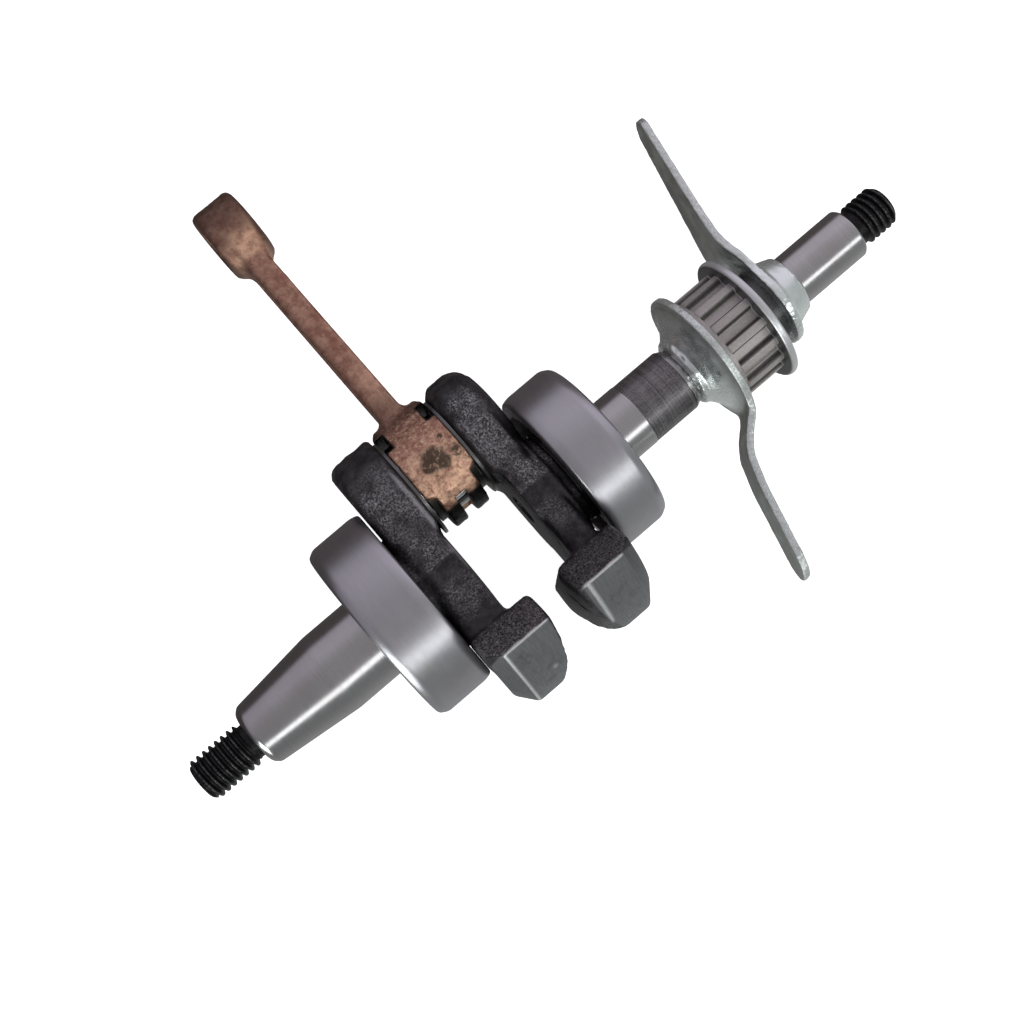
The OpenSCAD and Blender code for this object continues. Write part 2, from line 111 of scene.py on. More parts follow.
# ---- shapes as distances, negative inside ----


def smooth_min(a, b, reach):
    share = np.clip(0.5 + 0.5 * (b - a) / reach, 0, 1)
    return b * (1 - share) + a * share - reach * share * (1 - share)


def smooth_max(a, b, reach):
    return -smooth_min(-a, -b, reach)


def segment_gap(a, b, start, end):
    """Squared distance in a plane from (a, b) to one straight segment."""
    (a0, b0), (a1, b1) = start, end
    ea, eb = a1 - a0, b1 - b0
    share = np.clip(((a - a0) * ea + (b - b0) * eb) / (ea * ea + eb * eb), 0, 1)
    return (a - a0 - ea * share) ** 2 + (b - b0 - eb * share) ** 2


def line_distance(a, b, points):
    """Distance in a plane to an open line of (a, b) points."""
    nearest = np.full(np.broadcast(a, b).shape, np.inf, np.float32)
    for start, end in zip(points, points[1:]):
        nearest = np.minimum(nearest, segment_gap(a, b, start, end))
    return np.sqrt(nearest)


def polygon_distance(a, b, corners):
    """Distance in a plane to a closed outline of (a, b) corners, negative inside."""
    closed = corners + corners[:1]
    inside = np.zeros(np.broadcast(a, b).shape, bool)
    for (a0, b0), (a1, b1) in zip(closed, closed[1:]):
        if b1 != b0:
            inside ^= ((b0 > b) != (b1 > b)) & (a < a0 + (b - b0) * (a1 - a0) / (b1 - b0))
    return np.where(inside, -1, 1) * line_distance(a, b, closed)


def extruded(outline, x, low, high, low_edge, high_edge=None):
    """An outline's distance swept between two x positions, with rounded edges."""
    middle = (low + high) / 2
    edge = np.where(x < middle, low_edge, low_edge if high_edge is None else high_edge)
    across = np.abs(x - middle) - (high - low) / 2 + edge
    along = outline + edge
    outside = np.hypot(np.maximum(across, 0), np.maximum(along, 0))
    return np.minimum(np.maximum(across, along), 0) + outside - edge


def carve(shape, low, high, step):
    """Closed quad mesh of the surface where shape(x, y, z) is zero."""
    low = np.array(low, float)
    counts = np.ceil((np.array(high) - low) / step).astype(int) + 1
    axes = [(low[i] + step * np.arange(counts[i])).astype(np.float32) for i in range(3)]
    x, y, z = np.ix_(*axes)
    field = np.broadcast_to(shape(x, y, z), counts)
    band = 3.0
    grid = openvdb.FloatGrid(band)
    grid.copyFromArray(np.clip(field / step, -band, band).astype(np.float32))
    points, quads = grid.convertToQuads(0.0)
    return low + points * step, quads


def slopes(shape, verts):
    """Unit outward directions of a distance shape at points."""
    nudge = 0.05
    found = []
    for axis in range(3):
        shift = np.zeros(3)
        shift[axis] = nudge
        ahead, behind = verts + shift, verts - shift
        found.append(shape(*ahead.T) - shape(*behind.T))
    found = np.stack(found, 1)
    return found / np.maximum(np.linalg.norm(found, axis=1, keepdims=True), 1e-9)


def wobble(points, wavelength, seed, waves=16):
    """Smooth random height at points, about -1 to 1, with features of one size."""
    rng = np.random.default_rng(seed)
    ways = rng.normal(size=(waves, 3))
    ways /= np.linalg.norm(ways, axis=1, keepdims=True)
    ways *= (2 * math.pi / wavelength / rng.uniform(0.6, 1.7, waves))[:, None]
    return np.sin(points @ ways.T + rng.uniform(0, 2 * math.pi, waves)).sum(1) / math.sqrt(waves)


def ease(values, start, end):
    share = np.clip((values - start) / (end - start), 0, 1)
    return share * share * (3 - 2 * share)


# ---- meshes ----


def skin(rings, looped=False):
    """Joins rings of points into one closed surface. A looped skin's last ring meets its first."""
    rings = np.asarray(rings, float)
    index = np.arange(rings.shape[0] * rings.shape[1]).reshape(rings.shape[:2])
    low = index if looped else index[:-1]
    high = np.roll(index, -1, 0) if looped else index[1:]
    around = [low, np.roll(low, -1, 1), np.roll(high, -1, 1), high]
    faces = np.stack(around, -1).reshape(-1, 4).tolist()
    verts = rings.reshape(-1, 3)
    if not looped:
        for ring in (index[0][::-1], index[-1]):
            faces += [(a, b, len(verts)) for a, b in zip(ring.tolist(), np.roll(ring, -1).tolist())]
            verts = np.vstack([verts, verts[ring].mean(0)])
    return verts, faces


def with_caps(values):
    """Mask values of a skin's ring points, and zeros for the middles of its two ends."""
    return np.append(np.ravel(values), [0, 0])


def softened(points, cut, closed=False, steps=4):
    """The line of points with each corner rounded over a length of about cut."""
    points = [np.array(p, float) for p in points]
    made = []
    for i, corner in enumerate(points):
        if not closed and i in (0, len(points) - 1):
            made.append(corner)
            continue
        before, after = points[i - 1] - corner, points[(i + 1) % len(points)] - corner
        start = before * min(0.45, cut / np.linalg.norm(before))
        end = after * min(0.45, cut / np.linalg.norm(after))
        for t in np.linspace(0, 1, steps + 1):
            made.append(corner + start * (1 - t) ** 2 + end * t * t)
    return made


def full_turn(count):
    """Evenly spaced angles, once round."""
    return np.linspace(0, 2 * math.pi, count, endpoint=False)


def around(x, radius, angle):
    """Points at an x, a radius and an angle about the X axis."""
    x, radius, angle = np.broadcast_arrays(x, radius, angle)
    return np.stack([x, radius * np.cos(angle), radius * np.sin(angle)], -1)


def turned(profile, segments=SEGMENTS):
    """Rings of a line of (radius, x) points turned about the X axis."""
    return [around(x, r, full_turn(segments)) for r, x in profile]


def build(name, mesh_data, place, material, body, replaced=(), masks=None,
          sharp_degrees=32):
    """One finished piece from (vertices, faces), with float masks for its material."""
    verts, faces = mesh_data
    matrix = np.array(place)
    mesh = bpy.data.meshes.new(name)
    mesh.from_pydata((verts @ matrix[:3, :3].T + matrix[:3, 3]).tolist(), [], list(faces))
    for mask, values in (masks or {}).items():
        layer = mesh.attributes.new(mask, "FLOAT", "POINT")
        layer.data.foreach_set("value", np.asarray(values, np.float32))
    shell = bmesh.new()
    shell.from_mesh(mesh)
    bmesh.ops.recalc_face_normals(shell, faces=shell.faces)
    shell.to_mesh(mesh)
    shell.free()
    mesh.shade_smooth()
    mesh.set_sharp_from_angle(angle=math.radians(sharp_degrees))
    mesh.materials.append(material)
    piece = bpy.data.objects.new(name, mesh)
    bpy.context.scene.collection.objects.link(piece)
    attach(piece, body)
    if replaced:
        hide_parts(*replaced)
    return piece


# ---- material helpers ----


class Surface:
    """A principled material, and short ways to add the nodes that drive it."""

    def __init__(self, name, metallic, **uniform):
        self.material = bpy.data.materials.new(name)
        self.material.use_nodes = True
        self.tree = self.material.node_tree
        self.shader = self.tree.nodes["Principled BSDF"]
        self.shader.inputs["Metallic"].default_value = metallic
        for key, value in uniform.items():
            self.shader.inputs[key.replace("_", " ")].default_value = value
        self.place = self.add("ShaderNodeTexCoord").outputs["Object"]

    def add(self, kind, settings=None, **inputs):
        made = self.tree.nodes.new(kind)
        for key, value in (settings or {}).items():
            setattr(made, key, value)
        for key, value in inputs.items():
            self.feed(made.inputs[key.replace("_", " ")], value)
        return made

    def feed(self, socket, value):
        if isinstance(value, bpy.types.NodeSocket):
            self.tree.links.new(value, socket)
        else:
            socket.default_value = value

    def noise(self, per_mm, detail=4.0, roughness=0.55, stretch=(1, 1, 1)):
        """Noise with so many features per millimetre, squeezed along each axis."""
        scale = [s / MM for s in stretch]
        mapped = self.add("ShaderNodeMapping", Vector=self.place, Scale=scale)
        made = self.add(
            "ShaderNodeTexNoise",
            Vector=mapped.outputs[0],
            Scale=per_mm,
            Detail=detail,
            Roughness=roughness,
        )
        return made.outputs[0]

    def mask(self, name):
        return self.add("ShaderNodeAttribute", {"attribute_name": name}).outputs["Fac"]

    def calculate(self, operation, a, b=0.0):
        made = self.add("ShaderNodeMath", {"operation": operation})
        self.feed(made.inputs[0], a)
        self.feed(made.inputs[1], b)
        return made.outputs[0]

    def times(self, a, b):
        return self.calculate("MULTIPLY", a, b)

    def window(self, value, low, high, to_low=0.0, to_high=1.0):
        """Value from low to high eased onto another range."""
        made = self.add(
            "ShaderNodeMapRange",
            {"interpolation_type": "SMOOTHSTEP"},
            Value=value,
            From_Min=low,
            From_Max=high,
            To_Min=to_low,
            To_Max=to_high,
        )
        return made.outputs["Result"]

    def blend(self, share, a, b):
        """Colour from a to b. The mix node's colour sockets are inputs 6 and 7 and output 2."""
        made = self.add("ShaderNodeMix", {"data_type": "RGBA"})
        self.feed(made.inputs["Factor"], share)
        self.feed(made.inputs[6], (*a, 1) if isinstance(a, tuple) else a)
        self.feed(made.inputs[7], (*b, 1) if isinstance(b, tuple) else b)
        return made.outputs[2]

    def finish(self, colour, roughness, heights):
        """Feeds the shader. heights are (value, millimetres) pairs, added as bumps."""
        self.feed(self.shader.inputs["Base Color"], colour)
        self.feed(self.shader.inputs["Roughness"], roughness)
        normal = None
        for value, depth in heights:
            bump = self.add("ShaderNodeBump", Height=value, Distance=depth * MM)
            if normal:
                self.feed(bump.inputs["Normal"], normal)
            normal = bump.outputs[0]
        if normal:
            self.feed(self.shader.inputs["Normal"], normal)
        return self.material


def shaft_distance(s):
    """Distance of the shading point from the crank axis, in millimetres."""
    parts = s.add("ShaderNodeSeparateXYZ", Vector=s.place)
    squares = [s.calculate("POWER", parts.outputs[i], 2.0) for i in (1, 2)]
    root = s.calculate("SQRT", s.calculate("ADD", squares[0], squares[1]))
    return s.calculate("DIVIDE", root, MM)


def forged_steel():
    """Black scale on the forging, with ground rim and faces, and worn edges that carry a painted
    highlight.
    """
    s = Surface("forged_steel", 0.75)
    bare, wear_and_painted_highlight = s.mask("bare"), s.mask("wear_and_painted_highlight")
    coarse = s.noise(0.5, 5.0, 0.65)
    grain = s.noise(2.9, 6.0, 0.8)
    # Flecks of scale, which on the output web's upper flank also carry a painted sheen.
    fleck = s.times(s.window(grain, 0.43, 0.66), s.mask("speckle_and_sheen"))
    patch = s.window(coarse, 0.4, 0.62)
    scale = s.blend(patch, (0.030, 0.027, 0.030), (0.062, 0.057, 0.061))
    scale = s.blend(fleck, scale, (0.46, 0.44, 0.455))
    worn_and_highlit_edges = s.times(wear_and_painted_highlight, s.window(grain, 0.30, 0.48))
    lines = s.noise(7.0, 2.0, 0.5, stretch=(1, 0.06, 0.06))
    ground = s.blend(s.window(lines, 0.35, 0.65), (0.17, 0.175, 0.18), (0.21, 0.215, 0.22))
    ground = s.blend(s.window(coarse, 0.5, 0.75), ground, (0.13, 0.13, 0.13))
    colour = s.blend(bare, scale, ground)
    # Bright edge lines: wear, and a painted highlight on the rounded edges.
    colour = s.blend(worn_and_highlit_edges, colour, (0.66, 0.66, 0.66))
    rough = s.window(grain, 0.3, 0.7, 0.40, 0.60)
    return s.finish(colour, rough, [(coarse, 0.05), (grain, 0.025), (lines, 0.003)])


def ground_steel(name, base, roughness, line_depth=0.0012):
    """Bright steel with fine grinding lines round the axis and light stains."""
    s = Surface(name, 1.0)
    lines = s.noise(16.0, 3.0, 0.6, stretch=(1, 0.02, 0.02))
    broad = s.noise(2.6, 2.0, 0.5, stretch=(1, 0.03, 0.03))
    stain = s.window(s.noise(0.14, 3.0, 0.5), 0.45, 0.75)
    dim = tuple(c * 0.90 for c in base)
    brown = (base[0] * 0.72, base[1] * 0.66, base[2] * 0.64)
    colour = s.blend(s.window(lines, 0.3, 0.7), dim, base)
    colour = s.blend(s.times(stain, 0.3), colour, brown)
    scuff = s.window(s.noise(0.5, 4.0, 0.6), 0.35, 0.70, roughness * 0.96, roughness * 1.06)
    rough = s.calculate("ADD", scuff, s.window(broad, 0.3, 0.7, -0.01, 0.015))
    return s.finish(colour, rough, [(lines, line_depth)])


def black_oxide():
    """Blackened thread, rubbed lighter on its crests."""
    s = Surface("black_oxide", 0.85)
    crest = s.mask("crest")
    grain = s.noise(4.0, 4.0, 0.65)
    rub = s.times(s.window(crest, 0.7, 1.0), s.window(grain, 0.4, 0.62))
    base = s.blend(s.window(grain, 0.35, 0.7), (0.012, 0.012, 0.013), (0.04, 0.038, 0.038))
    colour = s.blend(s.times(rub, 0.7), base, (0.16, 0.16, 0.165))
    return s.finish(colour, s.window(grain, 0.3, 0.7, 0.32, 0.5), [(grain, 0.015)])


def turned_steel():
    """Dark shaft band with coarse lathe lines that cross into a fine mesh."""
    s = Surface("turned_steel", 0.9)
    rings = s.noise(5.2, 1.0, 0.4, stretch=(1, 0.015, 0.015))
    waves = s.noise(2.4, 2.0, 0.5, stretch=(0.2, 1, 1))
    shade = s.window(s.calculate("ADD", rings, s.times(waves, 0.6)), 0.5, 1.1)
    dots = s.window(s.noise(5.0, 2.0, 0.6), 0.50, 0.62)
    colour = s.blend(shade, (0.11, 0.10, 0.105), (0.25, 0.235, 0.24))
    colour = s.blend(s.times(dots, 0.5), colour, (0.36, 0.34, 0.35))
    return s.finish(colour, s.window(rings, 0.3, 0.7, 0.34, 0.44), [(rings, 0.008)])


def coppered_steel():
    """Flash-coppered forging: mottled brown pink with dark stains, a painted highlight low on the
    big end, on the lower shank and under the eye, and oil and painted shade that darken it.
    """
    s = Surface("coppered_steel", 0.85)
    stain, oil, painted_highlight = s.mask("stain"), s.mask("oil"), s.mask("painted_highlight")
    cloud = s.noise(0.45, 5.0, 0.65)
    grain = s.noise(1.3, 6.0, 0.8)
    base = s.blend(s.window(cloud, 0.40, 0.60), (0.35, 0.170, 0.122), (0.50, 0.285, 0.205))
    mottle = s.window(s.noise(0.75, 6.0, 0.8), 0.42, 0.56, 0.35, 1.0)
    # Painted highlight: bright copper where the key lamp's streak falls.
    base = s.blend(s.times(painted_highlight, mottle), base, (1.0, 0.62, 0.43))
    rough_skin = s.mask("rough_skin")
    light = s.times(s.window(grain, 0.51, 0.62, 0.0, 0.65), rough_skin)
    dents = s.times(s.window(grain, 0.49, 0.38, 0.0, 0.75), rough_skin)
    base = s.blend(light, base, (1.0, 0.76, 0.52))
    base = s.blend(dents, base, (0.20, 0.080, 0.055))
    broken = s.window(s.noise(1.1, 5.0, 0.7), 0.29, 0.50)
    dark = s.times(stain, broken)
    colour = s.blend(s.calculate("MINIMUM", dark, 0.92), base, (0.085, 0.064, 0.045))
    # Oil and painted shade, near black.
    colour = s.blend(oil, colour, (0.016, 0.014, 0.014))
    rough = s.window(grain, 0.3, 0.7, 0.38, 0.56)
    return s.finish(colour, rough, [(cloud, 0.04), (grain, 0.05)])


def zinc_plate():
    """Pale zinc on the slingers, with bright rough sheared edges and a painted highlight on the
    drawn collars.
    """
    s = Surface("zinc_plate", 0.9)
    edge, drawn = s.mask("edge"), s.mask("drawn")
    cloud = s.noise(0.28, 4.0, 0.6)
    grain = s.noise(4.5, 4.0, 0.7)
    face = s.blend(s.window(cloud, 0.35, 0.68), (0.37, 0.39, 0.365), (0.51, 0.53, 0.505))
    face = s.blend(s.window(grain, 0.56, 0.8, 0.0, 0.5), face, (0.62, 0.65, 0.62))
    sheared = s.blend(s.window(grain, 0.4, 0.66), (0.60, 0.63, 0.61), (0.93, 0.97, 0.94))
    colour = s.blend(edge, face, sheared)
    # Painted highlight on the drawn collars and the inner part of the discs.
    colour = s.blend(drawn, colour, (0.88, 0.93, 0.91))
    pits = s.window(s.noise(1.6, 5.0, 0.7), 0.63, 0.70)
    pitted = s.times(pits, s.window(drawn, 0.0, 0.5, 0.6, 0.0))
    colour = s.blend(pitted, colour, (0.11, 0.11, 0.10))
    rough = s.calculate("SUBTRACT", s.window(cloud, 0.3, 0.7, 0.32, 0.50), s.times(drawn, 0.14))
    return s.finish(colour, rough, [(grain, 0.022), (cloud, 0.08)])


def sintered_steel():
    """Brownish grey pressed powder, with painted shade on the tooth flanks and a painted highlight
    at their ends.
    """
    s = Surface("sintered_steel", 0.75)
    flank, tip = s.mask("flank"), s.mask("tip")
    grain = s.noise(4.0, 4.0, 0.7)
    pores = s.window(s.noise(6.0, 3.0, 0.6), 0.60, 0.70)
    tooth = s.blend(s.window(grain, 0.3, 0.7), (0.42, 0.392, 0.375), (0.60, 0.56, 0.54))
    groove = s.blend(s.window(grain, 0.3, 0.7), (0.06, 0.053, 0.050), (0.13, 0.12, 0.115))
    # Painted shade on the tooth flanks.
    colour = s.blend(flank, tooth, groove)
    # Painted highlight at the teeth's ends.
    colour = s.blend(tip, colour, (0.85, 0.86, 0.84))
    colour = s.blend(s.times(pores, 0.4), colour, (0.10, 0.09, 0.085))
    return s.finish(colour, s.window(grain, 0.3, 0.7, 0.40, 0.56), [(grain, 0.02), (pores, -0.01)])


def dark_sheet():
    """Dark oiled flange with a rubbed rim; the same finish darkens the pulley hub as painted shade.
    """
    s = Surface("dark_sheet_steel", 0.85)
    grain = s.noise(3.0, 4.0, 0.65)
    rim = s.window(shaft_distance(s), 11.6, 12.0)
    base = s.blend(s.window(grain, 0.3, 0.7), (0.09, 0.09, 0.09), (0.16, 0.16, 0.16))
    colour = s.blend(rim, base, (0.74, 0.74, 0.75))
    return s.finish(colour, s.window(grain, 0.3, 0.7, 0.30, 0.46), [(grain, 0.012)])


def rolling_steel(name, base, low, high):
    """Hardened polished steel of balls, rollers and washers, with faint marks."""
    s = Surface(name, 1.0)
    marks = s.noise(1.8, 5.0, 0.6)
    colour = s.blend(s.window(marks, 0.3, 0.7), tuple(c * 0.85 for c in base), base)
    return s.finish(colour, s.window(marks, 0.35, 0.65, low, high), [(marks, 0.003)])


FORGED = forged_steel()
BEARING = ground_steel("bearing_ring_steel", (0.51, 0.50, 0.525), 0.33)
# Inner races darkened as painted shade in the gaps beside the webs.
INNER_RING = ground_steel("oiled_ring_steel", (0.13, 0.125, 0.13), 0.32)
SHAFT = ground_steel("ground_shaft_steel", (0.51, 0.495, 0.50), 0.215)
OXIDE = black_oxide()
TURNED = turned_steel()
COPPER = coppered_steel()
ZINC = zinc_plate()
SINTERED = sintered_steel()
DARK_SHEET = dark_sheet()
# Balls darkened as painted shade inside the bearings.
POLISHED = rolling_steel("polished_ball_steel", (0.30, 0.30, 0.31), 0.12, 0.25)
ROLLER = rolling_steel("roller_steel", (0.70, 0.70, 0.71), 0.15, 0.3)
# Cages darkened as painted shade in the gaps.
PRESSED = rolling_steel("oiled_cage_steel", (0.075, 0.075, 0.07), 0.34, 0.5)
# Big end washers darkened as painted shade between rod and webs.
WASHER = rolling_steel("oiled_washer_steel", (0.20, 0.20, 0.20), 0.3, 0.45)


# ---- webs ----

LOBE_R = 11.0
ARM_HALF_W = 11.6
ARM_END = -18.0
FAN_R = 26.0
FAN_HALF_ANGLE = math.radians(48.6)
FAN_CORNER = (-FAN_R * math.cos(FAN_HALF_ANGLE), FAN_R * math.sin(FAN_HALF_ANGLE))
WEB_OUTER = 14.7
WEB_REACH = 15.0
ARM_INNER = 5.8
ARM_RELIEF = 1.1
RELIEF_TOP = 6.6
FAN_INNER = 2.6
FAN_START = -11.8
FAN_DRAFT = 1.7
FAN_DRAFT_L = 6.4
FAN_EDGE = 2.1
BEVEL_X = 2.7
BEVEL_R = 3.4
OUTPUT_ARM_OUTER = 12.3
SHOULDER_R = 11.3
PIN_R = size("crankpin")[1] / 2


def mirrored(points):
    """A half outline of (y, z) points closed by its mirror image."""
    return points + [(y, -z) for y, z in reversed(points)]


def arm_outline(y, z):
    """The arm with its round lobe about the crankpin."""
    corners = mirrored([(CRANK_R, LOBE_R - 0.2), (0, ARM_HALF_W), (ARM_END, ARM_HALF_W)])
    lobe = np.hypot(y - CRANK_R, z) - LOBE_R
    return smooth_min(polygon_distance(y, z, corners), lobe, 0.8)


def fan_outline(y, z):
    """The counterweight's straight flanks, which run on past its rim."""
    far = 1.75
    start_z = ARM_HALF_W + 0.3
    end = (FAN_CORNER[0] * far, FAN_CORNER[1] * far)
    corners = mirrored([(FAN_START, start_z), FAN_CORNER, end])
    return polygon_distance(y, z, corners)


def rim_bevel(x, radius):
    """Distance past the cone that bevels a counterweight's outer edge."""
    along = (x - WEB_OUTER + BEVEL_X) * BEVEL_R + (radius - FAN_R) * BEVEL_X
    return along / math.hypot(BEVEL_X, BEVEL_R)


def inner_taper(x, y):
    """Distance past the slopes that taper a counterweight's inner face towards its rim."""
    end = FAN_R - FAN_EDGE
    draft = (FAN_DRAFT_L - y - end) * FAN_DRAFT - (x - FAN_INNER) * FAN_DRAFT_L
    draft = draft / math.hypot(FAN_DRAFT, FAN_DRAFT_L)
    chamfer = (-y - end - x + FAN_INNER + FAN_DRAFT) / math.sqrt(2)
    return smooth_max(draft, chamfer, 1.2)


def pin_boss(x, y, z):
    """Rounded boss round the crankpin on the output web's outer face."""
    outline = np.hypot(y - CRANK_R - 0.8, z) - LOBE_R + 1.4
    return extruded(outline, x, ARM_INNER + 2, OUTPUT_ARM_OUTER + 1.8, 0.5, 2.6)


def web_shape(side, arm_outer, arm_edges, fan_edge, boss_r, bosses, cuts):
    """A web's distance function. side is -1 on the flywheel side and 1 on the other."""

    def shape(x, y, z):
        x = x * side
        radius = np.hypot(y, z)
        # Each smooth_min fillets a joint by about its last number.
        inner = ARM_INNER + ARM_RELIEF * ease(RELIEF_TOP - y, -0.8, 1.6)
        arm = extruded(arm_outline(y, z), x, inner, arm_outer, *arm_edges)
        for extra in bosses:
            arm = smooth_min(arm, extra(x, y, z), 1.6)
        rim = np.maximum(fan_outline(y, z), radius - FAN_R)
        fan = extruded(rim, x, FAN_INNER, WEB_OUTER, fan_edge, 0.9)
        fan = smooth_max(fan, inner_taper(x, y), 0.8)
        web = smooth_min(arm, fan, 1.0)
        bevelled = smooth_max(web, rim_bevel(x, radius), 0.4)
        web = np.where(y < FAN_START, bevelled, web)
        boss = extruded(radius - boss_r, x, ARM_INNER + 1, WEB_REACH, 0.3)
        web = smooth_min(web, boss, 0.6)
        shoulder = extruded(radius - SHOULDER_R, x, ARM_INNER + 1, arm_outer + 1.0, 0.6)
        web = smooth_min(web, shoulder, 0.5)
        bore = np.hypot(y - CRANK_R, z) - PIN_R
        web = np.maximum(web, -bore)
        for cut in cuts:
            web = np.maximum(web, -cut(x, y, z))
        return web

    return shape


def oil_hole(x, y, z):
    """Blind hole on the crank axis, with a chamfered mouth."""
    hole_r, chamfer, depth = 2.8, 0.5, 5
    flare = np.clip(ARM_INNER + chamfer - x, 0, chamfer)
    return np.maximum(np.hypot(y, z) - hole_r - flare, x - ARM_INNER - depth)


def torn_recess(x, y, z):
    """Shallow generic recess in the counterweight's inner face."""
    middle_y, middle_z = -18.6, 6.0
    dents = [(-1.9, 0.4, 0.9), (-0.5, -0.4, 1.15), (0.9, 0.35, 0.9), (2.0, -0.3, 0.7)]
    balls = []
    for dy, dz, r in dents:
        off_y, off_z = y - middle_y - dy, z - middle_z - dz
        balls.append(np.sqrt((x - FAN_INNER) ** 2 + off_y ** 2 + off_z ** 2) - r)
    return reduce(lambda a, b: smooth_min(a, b, 0.3), balls)


def file_marks(x, y, z):
    """Fine grooves across the output web's upper flank."""
    grooves = []
    for at, depth, inset in ((15.6, 0.35, 0.35), (6.9, 0.22, 0.1), (3.1, 0.16, 0.1),
                             (11.8, 0.14, 0.1)):
        grooves.append(np.hypot(y - at, np.abs(z) - ARM_HALF_W + inset) - depth)
    return np.minimum.reduce(grooves)


def web_finish(side, fan_edge, verts, ways):
    """Masks for a web's material, and how rough its skin is at each point."""
    x, y, z = np.abs(verts[:, 0]), verts[:, 1], verts[:, 2]
    radius = np.hypot(y, z)
    on_fan = y < FAN_CORNER[0] + 0.3
    taper_end = FAN_R - FAN_EDGE
    on_rim = ease(radius, FAN_R - 0.35, FAN_R - 0.1) * on_fan
    on_taper = ease(-y, taper_end - 2, taper_end) * (x < ARM_INNER + 1) * on_fan
    on_bevel = (1 - ease(np.abs(rim_bevel(x, radius)), 0.1, 0.3)) * on_fan
    on_face = ease(np.abs(ways[:, 0]), 0.93, 0.99)
    on_bore = np.hypot(y - CRANK_R, z) < PIN_R + 0.2
    bare = on_rim + 0.6 * on_bevel + 0.35 * on_taper + on_bore

    rim_end = WEB_OUTER - BEVEL_X if side < 0 else FAN_INNER + fan_edge
    to_corner = np.hypot(y - FAN_CORNER[0], np.abs(z) - FAN_CORNER[1])
    to_rim_end = np.abs(x - rim_end) + np.abs(radius - FAN_R)
    edge = np.where(on_fan, np.minimum(to_corner, to_rim_end), to_corner)
    to_arm_edge = np.hypot(x - ARM_INNER - 0.9, (np.abs(z) - ARM_HALF_W + 0.3) * 0.7)
    # Worn rim corners, partly a painted highlight; the line along the flywheel arm's inner edge is
    # a painted highlight.
    wear_and_painted_highlight = (1 - ease(edge, 0.15, 0.5)) + 0.45 * (1 - ease(to_arm_edge, 0.2, 0.6)) * (side < 0)

    flank = ease(np.abs(ways[:, 2]), 0.55, 0.95) * (1 - ease(y, CRANK_R + 2, CRANK_R + 8))
    patchy = np.clip(0.6 + 0.3 * wobble(verts, 7.0, 6) + 0.25 * wobble(verts, 2.6, 7), 0.1, 1)
    flare = ease(ways[:, 1], 0.3, 0.7) * ease(-y, 11, 13)
    off_flare = flare < 0.5
    below_axis = 1 - ease(y, 0.7, 1.1)
    scaled_band = ease(y, -2.6, -2.0) * below_axis
    speckle_and_sheen = np.clip(flank * patchy + flare, 0, 1) * (1 - ease(-y, 7.5, 10.5) * off_flare)
    speckle_and_sheen *= (1 - 0.8 * scaled_band) * (1 - 0.3 * below_axis * off_flare)
    # On the output web the flecks are raised above the axis and lowered below it, a painted sheen
    # on its upper flank.
    if side > 0:
        speckle_and_sheen = np.minimum(speckle_and_sheen * (0.7 + 0.9 * ease(y, 0.7, 1.3)), 1)
    rough = (1 - on_rim) * (1 - on_face) * (1 - on_bore) * (1 - on_bevel)
    return {"bare": np.clip(bare, 0, 1), "wear_and_painted_highlight": np.clip(wear_and_painted_highlight, 0, 1), "speckle_and_sheen": speckle_and_sheen}, rough


def forging(name, side, arm_outer, arm_edges, fan_edge, boss_r, bosses, cuts, node):
    """A carved web with a rough forged skin, a ground rim and worn edges with a painted highlight.
    """
    shape = web_shape(side, arm_outer, arm_edges, fan_edge, boss_r, bosses, cuts)
    margin = 0.6
    low = (FAN_INNER - margin, -FAN_R - margin, -FAN_CORNER[1] - 2 * margin)
    high = (WEB_REACH + margin, CRANK_R + LOBE_R + margin, FAN_CORNER[1] + 2 * margin)
    if side < 0:
        low, high = (-high[0], *low[1:]), (-low[0], *high[1:])
    verts, quads = carve(shape, low, high, step=0.26)
    ways = slopes(shape, verts)
    masks, rough = web_finish(side, fan_edge, verts, ways)
    lumps = 0.07 * wobble(verts, 3.6, 3) + 0.03 * wobble(verts, 1.3, 4)
    lumps += 0.018 * wobble(verts, 0.7, 5)
    verts = verts + ways * (lumps * rough)[:, None]
    return build(name, (verts, quads.tolist()), CRANK, FORGED, "crankshaft",
                 (node,), masks, sharp_degrees=60)


# ---- shafts and threads ----

TAPER_START = 35.2
TAPER_L = 16.4
SHAFT_R = 7.5
TAPER_END = TAPER_START + TAPER_L
TAPER_END_R = SHAFT_R - TAPER_L / 10
THREAD_R = 3.95
PITCH = 1.25
OUTPUT_SHAFT_R = 6.0
BAND = (31.4, 40.4)
SEAT_R = 5.0
SEAT_START = 41.6
SEAT_END = 66.5
END_R = 4.75
OUTPUT_END = 80.4


def shaft(name, profile, cut):
    """A turned length of shaft with its corners softened."""
    return build(name, skin(turned(softened(profile, cut))), CRANK, SHAFT, "crankshaft")


def flywheel_shaft():
    face_r, chamfer = 9.0, 0.95
    return shaft("flywheel_shaft", [
        (0.5, -TAPER_END), (TAPER_END_R - chamfer, -TAPER_END), (TAPER_END_R, -TAPER_END + 1.0),
        (SHAFT_R, -TAPER_START), (SHAFT_R, -WEB_REACH), (face_r, -WEB_REACH),
        (face_r, -WEB_REACH + 1), (0.5, -WEB_REACH + 1)], cut=0.5)


def output_journal():
    face_r = 8.2
    return shaft("output_journal", [
        (0.5, WEB_REACH - 1), (face_r, WEB_REACH - 1), (face_r, WEB_REACH),
        (OUTPUT_SHAFT_R, WEB_REACH), (OUTPUT_SHAFT_R, BAND[0] - 0.1),
        (OUTPUT_SHAFT_R - 0.12, BAND[0]), (0.5, BAND[0])], cut=0.15)


